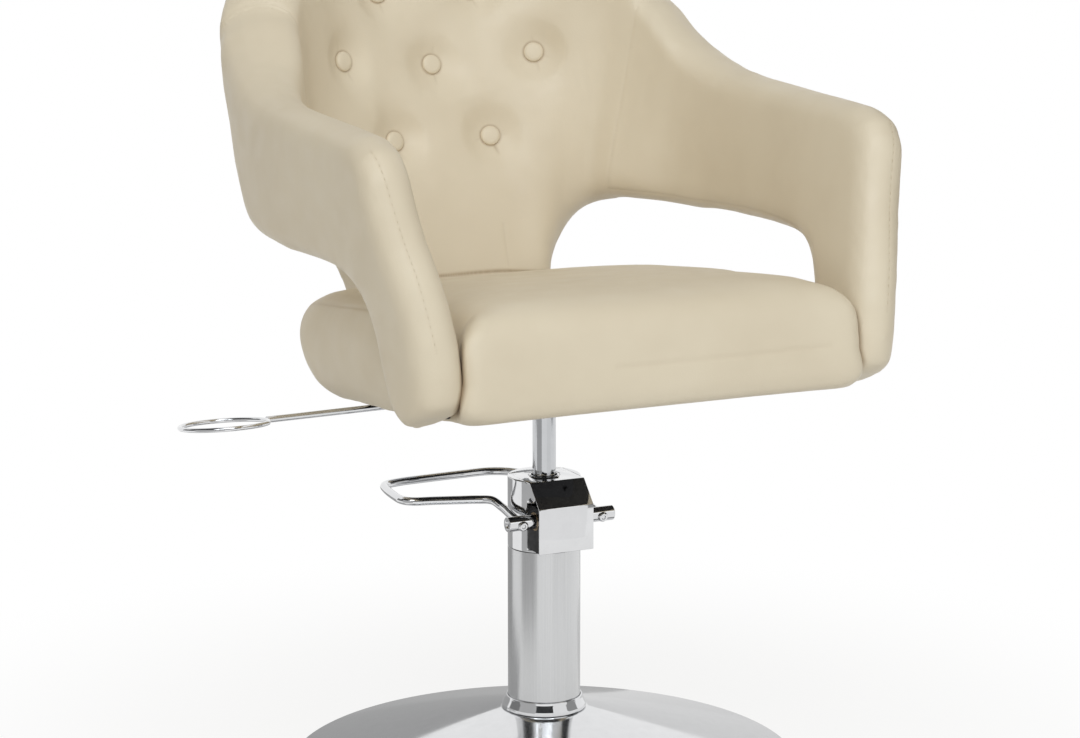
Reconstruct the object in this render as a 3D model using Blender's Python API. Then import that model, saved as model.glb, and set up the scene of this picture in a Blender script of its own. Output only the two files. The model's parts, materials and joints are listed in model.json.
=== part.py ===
"""Hairdressing chair with a hydraulic lift, in metres with +Z up.

The origin is where the column's axis meets the floor. The chair faces -Y, so the sitter's right is -X.
The lift is modelled a little above its lowest stop, as in the photograph.
"""

import math

import bmesh
import bpy
from mathutils import Matrix, Vector

MM = 0.001

# Sides of round pieces, by size
LARGE_SIDES = 48
ROUND_SIDES = 32
INNER_SIDES = 24
SMALL_SIDES = 12

# Clearances
GAP = 0.3 * MM
CUSHION_GAP = 2.0 * MM

# Base
BASE_RADIUS = 275.0 * MM
BASE_RISE = 62.0 * MM
BASE_LIP = 5.0 * MM
DOME_WALL = 2.0 * MM
PAD_THICK = 3.0 * MM
PAD_INSET = 3.0 * MM
WEIGHT_THICK = 10.0 * MM
WEIGHT_CLEAR = 2.0 * MM
FLANGE_WIDTH = 36.0 * MM
FLANGE_THICK = 8.0 * MM
BASE_BOLT_RADIUS = 5.0 * MM
BASE_BOLT_HEAD = 8.5 * MM
BASE_BOLT_COUNT = 4
BOLT_HEAD_THICK = 5.0 * MM

# Column
TUBE_RADIUS = 39.0 * MM
TUBE_WALL = 2.5 * MM
COLLAR_HEIGHT = 14.0 * MM
COLLAR_FOOT = 6.0 * MM
COLLAR_FOOT_HEIGHT = 4.2 * MM
COLLAR_LIP = 2.0 * MM
COLLAR_LIP_HEIGHT = 2.8 * MM
CAP_WALL = 3.0 * MM
CAP_SKIRT = 4.0 * MM
CAP_TOP_THICK = 7.0 * MM
CAP_EDGE = 1.5 * MM
COLUMN_TOP = 325.0 * MM
CYLINDER_BORE = 18.4 * MM
CYLINDER_WALL = 4.6 * MM
CYLINDER_FLOOR = 6.0 * MM
GUIDE_LENGTH = 32.0 * MM
GUIDE_PROUD = 12.8 * MM
SEAL_WALL = 4.0 * MM
SEAL_LIP = 2.5 * MM

# Rod and piston
ROD_RADIUS = 12.5 * MM
ROD_CHAMFER = 1.5 * MM
PISTON_DEPTH = 205.0 * MM
PISTON_HEIGHT = 16.0 * MM
PISTON_SEAL_HEIGHT = 6.0 * MM
PISTON_SEAL_DEPTH = 3.0 * MM
PISTON_CLEAR = 0.4 * MM

# Pump
SHAFT_RADIUS = 8.0 * MM
SHAFT_CHAMFER = 1.0 * MM
SHAFT_END = 15.0 * MM
SHAFT_DROP = 38.0 * MM
BUSH_WALL = 1.7 * MM
BUSH_LENGTH = 9.0 * MM
BLOCK_HALF = 30.0 * MM
BLOCK_REAR_WALL = 5.0 * MM
BLOCK_FRONT_WALL = 2.0 * MM
BLOCK_TOP_WALL = 5.0 * MM
BLOCK_FLOOR = 8.0 * MM
BLOCK_CLEAR = 1.5 * MM
CAM_HALF = 6.0 * MM
CAM_WALL = 1.2 * MM
CAM_CLEAR = 2.0 * MM
PLUNGER_RADIUS = 3.5 * MM
PLUNGER_HEAD_RADIUS = 5.0 * MM
PLUNGER_HEAD_THICK = 2.0 * MM
PLUNGER_TAIL = 9.0 * MM
SPRING_SPACE = 12.9 * MM
SPRING_WIRE = 0.5 * MM
SPRING_TURNS = 4
COVER_THICK = 1.5 * MM
COVER_SIDE = 2.0 * MM
COVER_CLEAR = 2.5 * MM
COVER_BRIDGE = 3.2 * MM
COVER_FOLD = 31.0 * MM

# Pedal
PEDAL_WIRE = 4.5 * MM
PEDAL_CLEAR = 8.0 * MM
PEDAL_SIDE = 137.0 * MM
PEDAL_REAR = 185.0 * MM
PEDAL_RISE = 12.0 * MM
PEDAL_LEG_LENGTH = 50.0 * MM
PEDAL_LEG_ANGLE = 10.0
CLAMP_HEAD_RADIUS = 5.5 * MM
CLAMP_HEAD_THICK = 2.5 * MM

# Seat
SEAT_TILT = 7.2
SEAT_RISE = 95.0 * MM
HUB_RADIUS = 20.0 * MM
HUB_DROP = 24.0 * MM
HUB_ROOF = 4.0 * MM
PLATE_HALF = 90.0 * MM
PLATE_THICK = 6.0 * MM
PLATE_CORNER = 20.0 * MM
PLATE_BOLT_INSET = 20.0 * MM
PLATE_BOLT_RADIUS = 4.0 * MM
PLATE_BOLT_HEAD = 6.8 * MM
PLATE_BOLT_SHORT = 4.6 * MM
BOARD_THICK = 15.0 * MM
BOARD_SIDE_INSET = 58.0 * MM
BOARD_FRONT_INSET = 54.0 * MM
BOARD_REAR_WALL = 2.0 * MM
BOARD_CORNER = 25.0 * MM
SEAT_HALF = 208.0 * MM
SEAT_AHEAD = 292.0 * MM
SEAT_BEHIND = 174.0 * MM
SEAT_HEIGHT = 123.0 * MM
SEAT_SWELL = 18.0 * MM
SEAT_SWELL_START = 20.0 * MM
SEAT_SWELL_LENGTH = 90.0 * MM
SEAT_FRONT_CORNER = 12.0 * MM
SEAT_REAR_CORNER = 60.0 * MM
TUCK_FRONT = 16.0 * MM
TUCK_REAR = 44.0 * MM
CROWN_INSET = 140.0 * MM
CROWN_ROUNDING = 0.6
BELLY_DEPTH = 10.0 * MM
BELLY_HEIGHT = 60.0 * MM
BELLY_LENGTH = 95.0 * MM
BELLY_AHEAD = 70.0 * MM

# Shell: two arms and a back
ARM_THICK = 58.0 * MM
ARM_FLARE = 39.0 * MM
ARM_RISE = 313.0 * MM
POST_DEPTH = 114.0 * MM
POST_SETBACK = 9.0 * MM
WINDOW_RISE = 167.0 * MM
BACK_THICK = 68.0 * MM
BACK_RISE = 495.0 * MM
BACK_RECLINE = 174.0 * MM
BACK_TOP_INSET = 48.0 * MM
BACK_FOOT_LAP = 11.0 * MM
BACK_FOOT_HALF = 108.0 * MM
BACK_FOOT_GAP = 0.8 * MM
BACK_SEAM_OUT = 5.0 * MM
BACK_SEAM_BEHIND = 13.0 * MM
WING_BULGE = 8.0 * MM
WING_PAD = 24.0 * MM
LUMBAR_BULGE = 8.0 * MM
EDGE_FULLNESS = 0.84

# Buttons
BUTTON_RADIUS = 11.0 * MM
BUTTON_STEM = 7.0 * MM
BUTTON_CROWN = 5.5 * MM
BUTTON_DIMPLE = 13.0 * MM
BUTTON_SPREAD = 27.0 * MM
BUTTON_PITCH = 112.0 * MM
BUTTON_TOP_INSET = 94.0 * MM
BUTTON_ROW_STEP = 80.0 * MM
BUTTON_ROW_ARCH = 10.0 * MM

# Brackets and bolts that hold the shell
ARM_BOLT_RADIUS = 4.0 * MM
ARM_BOLT_DEPTH = 30.0 * MM
BRACKET_THICK = 4.0 * MM
BRACKET_WIDTH = 36.0 * MM
BRACKET_X = 58.0 * MM
BRACKET_CLEAR = 3.5 * MM
SCREW_RADIUS = 3.0 * MM
SCREW_LENGTH = 22.0 * MM
SCREW_HEAD_RADIUS = 6.0 * MM
SCREW_HEAD_THICK = 3.0 * MM

# Dryer holder
HOLDER_BLOCK = 16.0 * MM
HOLDER_BLOCK_THICK = 6.0 * MM
HOLDER_CLEAR = 6.0 * MM
HOLDER_INSET = 4.0 * MM
HOLDER_WIRE = 3.5 * MM
HOLDER_NECK = 0.7 * MM
HOLDER_BEND = 5.5 * MM
HOLDER_REACH = 170.0 * MM
HOLDER_TURN = 6.0
RING_RADIUS = 46.5 * MM
RING_WIRE = 2.5 * MM
RING_TILT = 0.5

# Base and column: what follows from the sizes above
DOME_BOTTOM = PAD_THICK + GAP
DOME_LIP = DOME_BOTTOM + BASE_LIP
DOME_TOP = DOME_LIP + BASE_RISE
DOME_INSIDE = BASE_RADIUS - DOME_WALL
DOME_HOLE = TUBE_RADIUS + GAP
DOME_FLAT = DOME_HOLE + COLLAR_FOOT + COLLAR_LIP
WEIGHT_BOTTOM = PAD_THICK + GAP
WEIGHT_TOP = WEIGHT_BOTTOM + WEIGHT_THICK
WEIGHT_HEADROOM = WEIGHT_TOP + WEIGHT_CLEAR - DOME_LIP + DOME_WALL
WEIGHT_RADIUS = DOME_INSIDE - WEIGHT_HEADROOM * (DOME_INSIDE - DOME_FLAT) / BASE_RISE
COLUMN_FOOT = WEIGHT_TOP + GAP
FLANGE_RADIUS = DOME_HOLE + FLANGE_WIDTH
BASE_BOLT_CIRCLE = DOME_HOLE + FLANGE_WIDTH / 2
CYLINDER_RADIUS = CYLINDER_BORE + CYLINDER_WALL
ROD_BORE = ROD_RADIUS + GAP
SEAL_RADIUS = ROD_BORE + SEAL_WALL
PISTON_TOP = COLUMN_TOP - PISTON_DEPTH
PISTON_RADIUS = CYLINDER_BORE - PISTON_CLEAR

# Pump and pedal: what follows
BUSH_RADIUS = SHAFT_RADIUS + GAP + BUSH_WALL
CAM_DEPTH = SHAFT_RADIUS + GAP + CAM_WALL
SHAFT_FORWARD = CYLINDER_RADIUS + BLOCK_REAR_WALL + BUSH_RADIUS
SHAFT_Y = -SHAFT_FORWARD
SHAFT_Z = COLUMN_TOP - SHAFT_DROP
CAM_REACH = SHAFT_FORWARD - CYLINDER_RADIUS - CAM_CLEAR
PLUNGER_BACK = CAM_REACH - PLUNGER_HEAD_RADIUS
PLUNGER_TOP = SHAFT_Z - CAM_DEPTH - 2 * GAP
PLUNGER_SEAT = PLUNGER_TOP - PLUNGER_HEAD_THICK
BLOCK_INSIDE = PLUNGER_SEAT - SPRING_SPACE
BLOCK_BOTTOM = BLOCK_INSIDE - BLOCK_FLOOR
BLOCK_TOP = SHAFT_Z + BUSH_RADIUS + BLOCK_TOP_WALL
BLOCK_FRONT = SHAFT_Y - BUSH_RADIUS - BLOCK_FRONT_WALL
BLOCK_REAR = -CYLINDER_RADIUS - GAP
SLOT_HALF = CAM_HALF + CAM_CLEAR
CAP_BOTTOM = BLOCK_BOTTOM - CAP_SKIRT
COVER_FRONT = BLOCK_FRONT - COVER_CLEAR - COVER_THICK
COVER_HALF = BLOCK_HALF + COVER_SIDE
COVER_REAR = SEAL_RADIUS + COVER_BRIDGE
CAP_TOP = COLUMN_TOP + GAP + COVER_THICK
PEDAL_LEG = TUBE_RADIUS + PEDAL_CLEAR
SHAFT_HALF = PEDAL_LEG + SHAFT_END

# Seat, shell and holder: what follows
TILT = math.radians(SEAT_TILT)
SEAT_PLANE = COLUMN_TOP + SEAT_RISE
HUB_BOTTOM = SEAT_PLANE - HUB_DROP
HUB_CEILING = SEAT_PLANE - PLATE_THICK - HUB_ROOF
ROD_TOP = HUB_CEILING - GAP
PLATE_FOOT = -GAP - PLATE_THICK
PLATE_BOLT_SPREAD = PLATE_HALF - PLATE_BOLT_INSET
SEAT_FRONT = -SEAT_AHEAD
SEAT_REAR = SEAT_BEHIND
BOARD_HALF = SEAT_HALF - BOARD_SIDE_INSET
BOARD_FRONT = SEAT_FRONT + BOARD_FRONT_INSET
BOARD_REAR = SEAT_REAR - TUCK_REAR - BOARD_REAR_WALL
POST_X = SEAT_HALF + CUSHION_GAP + ARM_THICK / 2
POST_FRONT = SEAT_FRONT + POST_SETBACK
POST_REAR = POST_FRONT + POST_DEPTH
ARM_X = POST_X + ARM_FLARE
ARM_TOP = SEAT_PLANE + ARM_RISE
WINDOW_TOP = SEAT_PLANE + WINDOW_RISE
BACK_TOP = SEAT_PLANE + BACK_RISE
BACK_FOOT_Y = SEAT_REAR + BACK_THICK / 2 - BACK_FOOT_LAP
BACK_TOP_Y = BACK_FOOT_Y + BACK_RECLINE
BACK_TOP_HALF = ARM_X - BACK_TOP_INSET
BACK_SEAM_X = SEAT_HALF + BACK_SEAM_OUT
BACK_SEAM_Y = BACK_FOOT_Y + BACK_SEAM_BEHIND
HOLDER_X = -PLATE_HALF - HOLDER_CLEAR - HOLDER_BLOCK
HOLDER_Y = BOARD_REAR - HOLDER_BLOCK - HOLDER_INSET
HOLDER_DROP = GAP + HOLDER_BLOCK_THICK + HOLDER_NECK + HOLDER_BEND

CREAM = (0.76, 0.66, 0.50)
CHROME = (0.78, 0.79, 0.80)
STEEL = (0.52, 0.53, 0.54)
DARK = (0.03, 0.03, 0.03)
BLACK_PAINT = (0.03, 0.028, 0.026)
BRONZE = (0.55, 0.38, 0.18)


def clear_scene():
    """Remove every object of the open file."""
    for thing in list(bpy.data.objects):
        bpy.data.objects.remove(thing, do_unlink=True)


def material(name, colour, roughness, metallic=0.0):
    """A Principled material with one colour."""
    made = bpy.data.materials.new(name)
    made.use_nodes = True
    shader = made.node_tree.nodes["Principled BSDF"]
    shader.inputs["Base Color"].default_value = (*colour, 1.0)
    shader.inputs["Roughness"].default_value = roughness
    shader.inputs["Metallic"].default_value = metallic
    return made


def chrome(name):
    return material(name, CHROME, 0.08, 1.0)


def steel(name):
    return material(name, STEEL, 0.35, 1.0)


def leather(name):
    return material(name, CREAM, 0.5)


def rubber(name):
    return material(name, DARK, 0.8)


def empty(name, place, turn=(0.0, 0.0, 0.0), parent=None):
    """An empty that carries the pieces of one moving body."""
    made = bpy.data.objects.new(name, None)
    bpy.context.collection.objects.link(made)
    made.location = place
    made.rotation_euler = turn
    made.parent = parent
    return made


def add(name, bm, look, parent=None, place=(0, 0, 0), turn=(0, 0, 0)):
    """Turn a bmesh into a named, smoothly shaded object."""
    bmesh.ops.remove_doubles(bm, verts=bm.verts, dist=1e-7)
    bmesh.ops.recalc_face_normals(bm, faces=bm.faces)
    mesh = bpy.data.meshes.new(name)
    bm.to_mesh(mesh)
    bm.free()
    mesh.shade_smooth()
    mesh.set_sharp_from_angle(angle=math.radians(35))
    made = bpy.data.objects.new(name, mesh)
    bpy.context.collection.objects.link(made)
    made.location = place
    made.rotation_euler = turn
    made.parent = parent
    if look:
        mesh.materials.append(look)
    return made


def spun(profile, sides, closed):
    """A bmesh turned about Z from (radius, height) points."""
    bm = bmesh.new()
    verts = [bm.verts.new((r, 0.0, z)) for r, z in profile]
    pairs = list(zip(verts, verts[1:]))
    if closed:
        pairs.append((verts[-1], verts[0]))
    edges = [bm.edges.new(pair) for pair in pairs]
    bmesh.ops.spin(bm, geom=verts + edges, cent=(0, 0, 0), axis=(0, 0, 1), dvec=(0, 0, 0),
                   angle=math.tau, steps=sides, use_merge=True, use_duplicate=False)
    bmesh.ops.remove_doubles(bm, verts=bm.verts, dist=1e-7)
    return bm


def turned(name, profile, look, sides=INNER_SIDES, **placing):
    """A solid of revolution. Its profile runs from axis to axis."""
    return add(name, spun(profile, sides, False), look, **placing)


def ring(name, profile, look, sides=INNER_SIDES, **placing):
    """A ring of revolution. Its profile is a closed outline away from the axis."""
    return add(name, spun(profile, sides, True), look, **placing)


def disc_profile(radius, bottom, top, chamfer=0.0):
    """Profile of a plain disc or shaft, with an optional chamfer on both edges."""
    if chamfer == 0.0:
        return [(0, top), (radius, top), (radius, bottom), (0, bottom)]
    inner = radius - chamfer
    return [(0, top), (inner, top), (radius, top - chamfer),
            (radius, bottom + chamfer), (inner, bottom), (0, bottom)]


def tube_profile(inner, outer, bottom, top):
    return [(inner, bottom), (outer, bottom), (outer, top), (inner, top)]


def box(name, low, high, look=None, bevel=0.0, **placing):
    """A box between two corners, with bevelled upright edges where asked."""
    bm = bmesh.new()
    size = Vector(high) - Vector(low)
    middle = (Vector(high) + Vector(low)) / 2
    frame = Matrix.Translation(middle) @ Matrix.Diagonal((*size, 1.0))
    bmesh.ops.create_cube(bm, size=1.0, matrix=frame)
    if bevel:
        upright = [e for e in bm.edges if abs((e.verts[0].co - e.verts[1].co).z) > size.z / 2]
        bmesh.ops.bevel(bm, geom=upright, offset=bevel, offset_type='OFFSET', affect='EDGES',
                        segments=4, profile=0.5, clamp_overlap=True, material=-1)
    return add(name, bm, look, **placing)


def extruded(name, outline, low, high, look, **placing):
    """A flat outline of (y, z) points extruded along X."""
    bm = bmesh.new()
    face = bm.faces.new([bm.verts.new((low, y, z)) for y, z in outline])
    grown = bmesh.ops.extrude_face_region(bm, geom=[face])
    moved = [part for part in grown["geom"] if isinstance(part, bmesh.types.BMVert)]
    bmesh.ops.translate(bm, verts=moved, vec=(high - low, 0, 0))
    return add(name, bm, look, **placing)


def wire(name, points, radius, look, resolution=2, parent=None):
    """A round wire with filled ends along a list of points."""
    curve = bpy.data.curves.new(name, 'CURVE')
    curve.dimensions = '3D'
    curve.bevel_depth = radius
    curve.bevel_resolution = resolution
    curve.use_fill_caps = True
    line = curve.splines.new('POLY')
    line.points.add(len(points) - 1)
    for point, place in zip(line.points, points):
        point.co = (*place, 1.0)
    line.use_smooth = True
    curve.materials.append(look)
    made = bpy.data.objects.new(name, curve)
    bpy.context.collection.objects.link(made)
    made.parent = parent
    return made


def cut(target, tool):
    """Cut one object out of another and hide the cutter."""
    tool.hide_render = True
    tool.display_type = 'WIRE'
    step = target.modifiers.new(tool.name, 'BOOLEAN')
    step.operation = 'DIFFERENCE'
    step.object = tool


def drill(target, name, radius, bottom, top, sides=SMALL_SIDES, **placing):
    """Cut a round hole along the cutter's own Z."""
    tool = turned(name, disc_profile(radius, bottom, top), None, sides, **placing)
    cut(target, tool)
    return tool


def spline(points, at):
    """A smooth curve through the points, read at a station counted in points."""
    last = len(points) - 1
    k = min(int(at), last - 1)
    u = at - k
    p1 = Vector(points[k])
    p2 = Vector(points[k + 1])
    p0 = Vector(points[k - 1]) if k > 0 else 2 * p1 - p2
    p3 = Vector(points[k + 2]) if k + 2 <= last else 2 * p2 - p1
    square = 2 * p0 - 5 * p1 + 4 * p2 - p3
    cube = 3 * p1 - p0 - 3 * p2 + p3
    return p1 + 0.5 * u * (p2 - p0 + u * (square + u * cube))


def smooth_path(points, per_span):
    """Points along the spline, a few to each span."""
    count = (len(points) - 1) * per_span
    return [spline(points, i / per_span) for i in range(count + 1)]


def loft(name, loops, look):
    """Skin equal closed loops in order and close both ends."""
    bm = bmesh.new()
    rows = [[bm.verts.new(point) for point in loop] for loop in loops]
    for row, following in zip(rows, rows[1:]):
        for i in range(len(row)):
            j = (i + 1) % len(row)
            bm.faces.new((row[i], row[j], following[j], following[i]))
    bm.faces.new(rows[0])
    bm.faces.new(rows[-1])
    return add(name, bm, look)


def seat_plane(y):
    """Height of the seat's underside at a world Y."""
    return SEAT_PLANE - y * math.tan(TILT)


# Base


def build_base():
    pad_radius = BASE_RADIUS - PAD_INSET
    turned("floor_pad", disc_profile(pad_radius, 0.0, PAD_THICK), rubber("floor_pad"), LARGE_SIDES)
    weight = turned("base_weight", disc_profile(WEIGHT_RADIUS, WEIGHT_BOTTOM, WEIGHT_TOP),
                    steel("base_weight"), ROUND_SIDES)
    build_dome()
    foot = DOME_HOLE
    low = DOME_TOP + GAP
    top = low + COLLAR_HEIGHT
    ring("column_collar", [(foot, low), (foot + COLLAR_FOOT, low), (foot + COLLAR_FOOT, low + COLLAR_FOOT_HEIGHT),
                           (foot + COLLAR_LIP, top - COLLAR_LIP_HEIGHT), (foot + COLLAR_LIP, top), (foot, top)],
         chrome("column_collar"), ROUND_SIDES)
    flange = ring("pump_flange", tube_profile(foot, FLANGE_RADIUS, COLUMN_FOOT, COLUMN_FOOT + FLANGE_THICK),
                  steel("pump_flange"), ROUND_SIDES)
    build_base_bolts(weight, flange)


def build_dome():
    """The chromed cone, open below, with a lip that stands on the pad."""
    ring("base_dome", [(DOME_INSIDE, DOME_BOTTOM), (BASE_RADIUS, DOME_BOTTOM), (BASE_RADIUS, DOME_LIP),
                       (DOME_FLAT, DOME_TOP), (DOME_HOLE, DOME_TOP), (DOME_HOLE, DOME_TOP - DOME_WALL),
                       (DOME_FLAT, DOME_TOP - DOME_WALL), (DOME_INSIDE, DOME_LIP - DOME_WALL)],
         chrome("base_dome"), LARGE_SIDES)


def build_base_bolts(weight, flange):
    top = COLUMN_FOOT + FLANGE_THICK + GAP
    bottom = WEIGHT_BOTTOM + GAP
    head = BASE_BOLT_HEAD
    look = steel("base_bolt")
    for i in range(BASE_BOLT_COUNT):
        angle = math.tau * (i + 0.5) / BASE_BOLT_COUNT
        place = (BASE_BOLT_CIRCLE * math.cos(angle), BASE_BOLT_CIRCLE * math.sin(angle), 0)
        hole = BASE_BOLT_RADIUS + GAP
        tool = drill(weight, f"base_hole_{i}", hole, 0.0, top + WEIGHT_THICK, place=place)
        cut(flange, tool)
        turned(f"base_bolt_{i + 1}", [(0, top + BOLT_HEAD_THICK), (head, top + BOLT_HEAD_THICK), (head, top),
                                      (BASE_BOLT_RADIUS, top), (BASE_BOLT_RADIUS, bottom), (0, bottom)],
               look, SMALL_SIDES, place=place)


# Column


def build_column():
    inside = TUBE_RADIUS - TUBE_WALL
    ring("column_tube", tube_profile(inside, TUBE_RADIUS, COLUMN_FOOT, CAP_BOTTOM - GAP),
         material("column_tube", STEEL, 0.28, 1.0), ROUND_SIDES)
    build_cap()
    bore = CYLINDER_BORE
    floor = COLUMN_FOOT + CYLINDER_FLOOR
    ceiling = COLUMN_TOP - CAP_TOP_THICK
    guide_top = ceiling - GAP
    cylinder_top = guide_top - GUIDE_PROUD
    turned("inner_cylinder", [(0, floor), (bore, floor), (bore, cylinder_top), (CYLINDER_RADIUS, cylinder_top),
                              (CYLINDER_RADIUS, COLUMN_FOOT), (0, COLUMN_FOOT)], steel("inner_cylinder"))
    ring("guide_bush", tube_profile(ROD_BORE, bore - GAP, guide_top - GUIDE_LENGTH, guide_top),
         material("guide_bush", BRONZE, 0.4, 1.0))
    ring("rod_seal", tube_profile(ROD_BORE, SEAL_RADIUS, ceiling + GAP, COLUMN_TOP + GAP + SEAL_LIP),
         rubber("rod_seal"))


def build_cap():
    """The mirror-bright head of the column, cut open in front for the pump."""
    inside = TUBE_RADIUS - CAP_WALL
    ceiling = COLUMN_TOP - CAP_TOP_THICK
    seat = SEAL_RADIUS + GAP
    cap = ring("column_cap", [(inside, CAP_BOTTOM), (TUBE_RADIUS, CAP_BOTTOM),
                              (TUBE_RADIUS, CAP_TOP - CAP_EDGE), (TUBE_RADIUS - CAP_EDGE, CAP_TOP),
                              (seat, CAP_TOP), (seat, ceiling), (inside, ceiling)],
               chrome("column_cap"), ROUND_SIDES)
    side = COVER_HALF + GAP
    low = BLOCK_BOTTOM - BLOCK_CLEAR
    high = BLOCK_TOP + BLOCK_CLEAR
    front = -2 * TUBE_RADIUS
    fold = -COVER_FOLD + COVER_THICK
    window = extruded("cap_window", [(front, low), (-CYLINDER_RADIUS, low), (-CYLINDER_RADIUS, high),
                                     (fold, high), (fold, 2 * COLUMN_TOP), (front, 2 * COLUMN_TOP)],
                      -side, side, None)
    cut(cap, window)
    recess = box("cap_recess", (-side, front, COLUMN_TOP), (side, COVER_REAR + GAP, 2 * COLUMN_TOP))
    cut(cap, recess)


def build_cover():
    """The folded chrome sheet over the pump: a strap on top, a slope and a front plate."""
    top = COLUMN_TOP + GAP
    inner_front = COVER_FRONT + COVER_THICK
    path = [(COVER_REAR, top), (-COVER_FOLD, top), (inner_front, BLOCK_TOP), (inner_front, BLOCK_BOTTOM)]
    outline = path + list(reversed(thickened(path, COVER_THICK)))
    cover = extruded("pump_cover", outline, -COVER_HALF, COVER_HALF, chrome("pump_cover"))
    drill(cover, "cover_hole", SEAL_RADIUS + GAP, top - COVER_THICK, top + 2 * COVER_THICK, sides=INNER_SIDES)


def thickened(path, thick):
    """The path moved sideways by the sheet's thickness, with mitred folds."""
    moved = []
    for i, point in enumerate(path):
        before = path[max(i - 1, 0)]
        after = path[min(i + 1, len(path) - 1)]
        here = Vector(point)
        first = (here - Vector(before)).normalized() if i > 0 else None
        second = (Vector(after) - here).normalized() if i < len(path) - 1 else None
        normals = [Vector((d.y, -d.x)) for d in (first, second) if d is not None]
        mean = sum(normals, Vector((0, 0))).normalized()
        moved.append(tuple(here + mean * (thick / mean.dot(normals[0]))))
    return moved


# Pump and pedal


def build_pump():
    block = box("pump_block", (-BLOCK_HALF, BLOCK_FRONT, BLOCK_BOTTOM), (BLOCK_HALF, BLOCK_REAR, BLOCK_TOP),
                material("pump_block", STEEL, 0.5, 1.0))
    slot = box("block_slot", (-SLOT_HALF, 2 * BLOCK_FRONT, BLOCK_INSIDE), (SLOT_HALF, 0, 2 * BLOCK_TOP))
    cut(block, slot)
    across = (0, math.pi / 2, 0)
    axis = (0, SHAFT_Y, SHAFT_Z)
    drill(block, "block_bore", BUSH_RADIUS + GAP, -SHAFT_HALF, SHAFT_HALF, sides=INNER_SIDES, place=axis, turn=across)
    bush = tube_profile(SHAFT_RADIUS + GAP, BUSH_RADIUS, BLOCK_HALF - BUSH_LENGTH, BLOCK_HALF)
    look = material("shaft_bush", BRONZE, 0.4, 1.0)
    ring("shaft_bush_left", bush, look, place=axis, turn=across)
    ring("shaft_bush_right", bush, look, place=axis, turn=(0, -math.pi / 2, 0))
    build_plunger(block)


def build_plunger(block):
    """The pump's plunger under the cam, with its spring round it."""
    y = SHAFT_Y + PLUNGER_BACK
    tail = BLOCK_BOTTOM - PLUNGER_TAIL
    carrier = empty("plunger_axis", (0, y, PLUNGER_TOP))
    here = (0, 0, -PLUNGER_TOP)
    head = PLUNGER_HEAD_RADIUS
    turned("pump_plunger", [(0, PLUNGER_TOP), (head, PLUNGER_TOP), (head, PLUNGER_SEAT),
                            (PLUNGER_RADIUS, PLUNGER_SEAT), (PLUNGER_RADIUS, tail), (0, tail)],
           steel("pump_plunger"), SMALL_SIDES, parent=carrier, place=here)
    drill(block, "plunger_hole", PLUNGER_RADIUS + GAP, tail, PLUNGER_TOP, place=(0, y, 0))
    low = BLOCK_INSIDE + SPRING_WIRE + GAP
    high = PLUNGER_SEAT - SPRING_WIRE - GAP
    radius = PLUNGER_RADIUS + 2 * GAP + SPRING_WIRE
    count = 8 * SPRING_TURNS
    turn = math.tau / 8
    coil = [(radius * math.cos(i * turn), y + radius * math.sin(i * turn), low + (high - low) * i / count)
            for i in range(count + 1)]
    wire("plunger_spring", coil, SPRING_WIRE, steel("plunger_spring"), resolution=1)


def build_pedal():
    carrier = empty("pedal_axis", (0, SHAFT_Y, SHAFT_Z))
    across = (0, math.pi / 2, 0)
    shaft = turned("pedal_shaft", disc_profile(SHAFT_RADIUS, -SHAFT_HALF, SHAFT_HALF, SHAFT_CHAMFER),
                   chrome("pedal_shaft"), parent=carrier, turn=across)
    leg_up = math.radians(PEDAL_LEG_ANGLE)
    forward = (math.pi / 2 + leg_up, 0, 0)
    screw_root = PEDAL_WIRE / 2
    for side, sign in (("left", 1), ("right", -1)):
        place = (sign * PEDAL_LEG, 0, 0)
        drill(shaft, f"leg_hole_{side}", PEDAL_WIRE + GAP, -2 * SHAFT_RADIUS, 2 * SHAFT_RADIUS,
              parent=carrier, place=place, turn=forward)
        seat = SHAFT_RADIUS + GAP
        turned(f"clamp_screw_{side}",
               [(0, seat + CLAMP_HEAD_THICK), (CLAMP_HEAD_RADIUS, seat + CLAMP_HEAD_THICK),
                (CLAMP_HEAD_RADIUS, seat), (PEDAL_WIRE, seat), (PEDAL_WIRE, screw_root), (0, screw_root)],
               chrome(f"clamp_screw_{side}"), SMALL_SIDES, parent=carrier, place=place, turn=forward)
    build_cam(carrier)
    wire("pedal_bar", pedal_route(leg_up), PEDAL_WIRE, chrome("pedal_bar"), parent=carrier)


def build_cam(carrier):
    """A round boss on the shaft with a square toe that pushes the plunger down."""
    boss = CAM_DEPTH
    arc = [(boss * math.cos(a), boss * math.sin(a)) for a in
           (math.radians(d) for d in range(90, 271, 15))]
    outline = [(CAM_REACH, -boss), (CAM_REACH, 0.0), (boss, boss * 0.6)] + arc
    cam = extruded("pump_cam", outline, -CAM_HALF, CAM_HALF, steel("pump_cam"), parent=carrier)
    drill(cam, "cam_bore", SHAFT_RADIUS + GAP, -2 * CAM_HALF, 2 * CAM_HALF, sides=INNER_SIDES,
          parent=carrier, turn=(0, math.pi / 2, 0))


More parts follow.
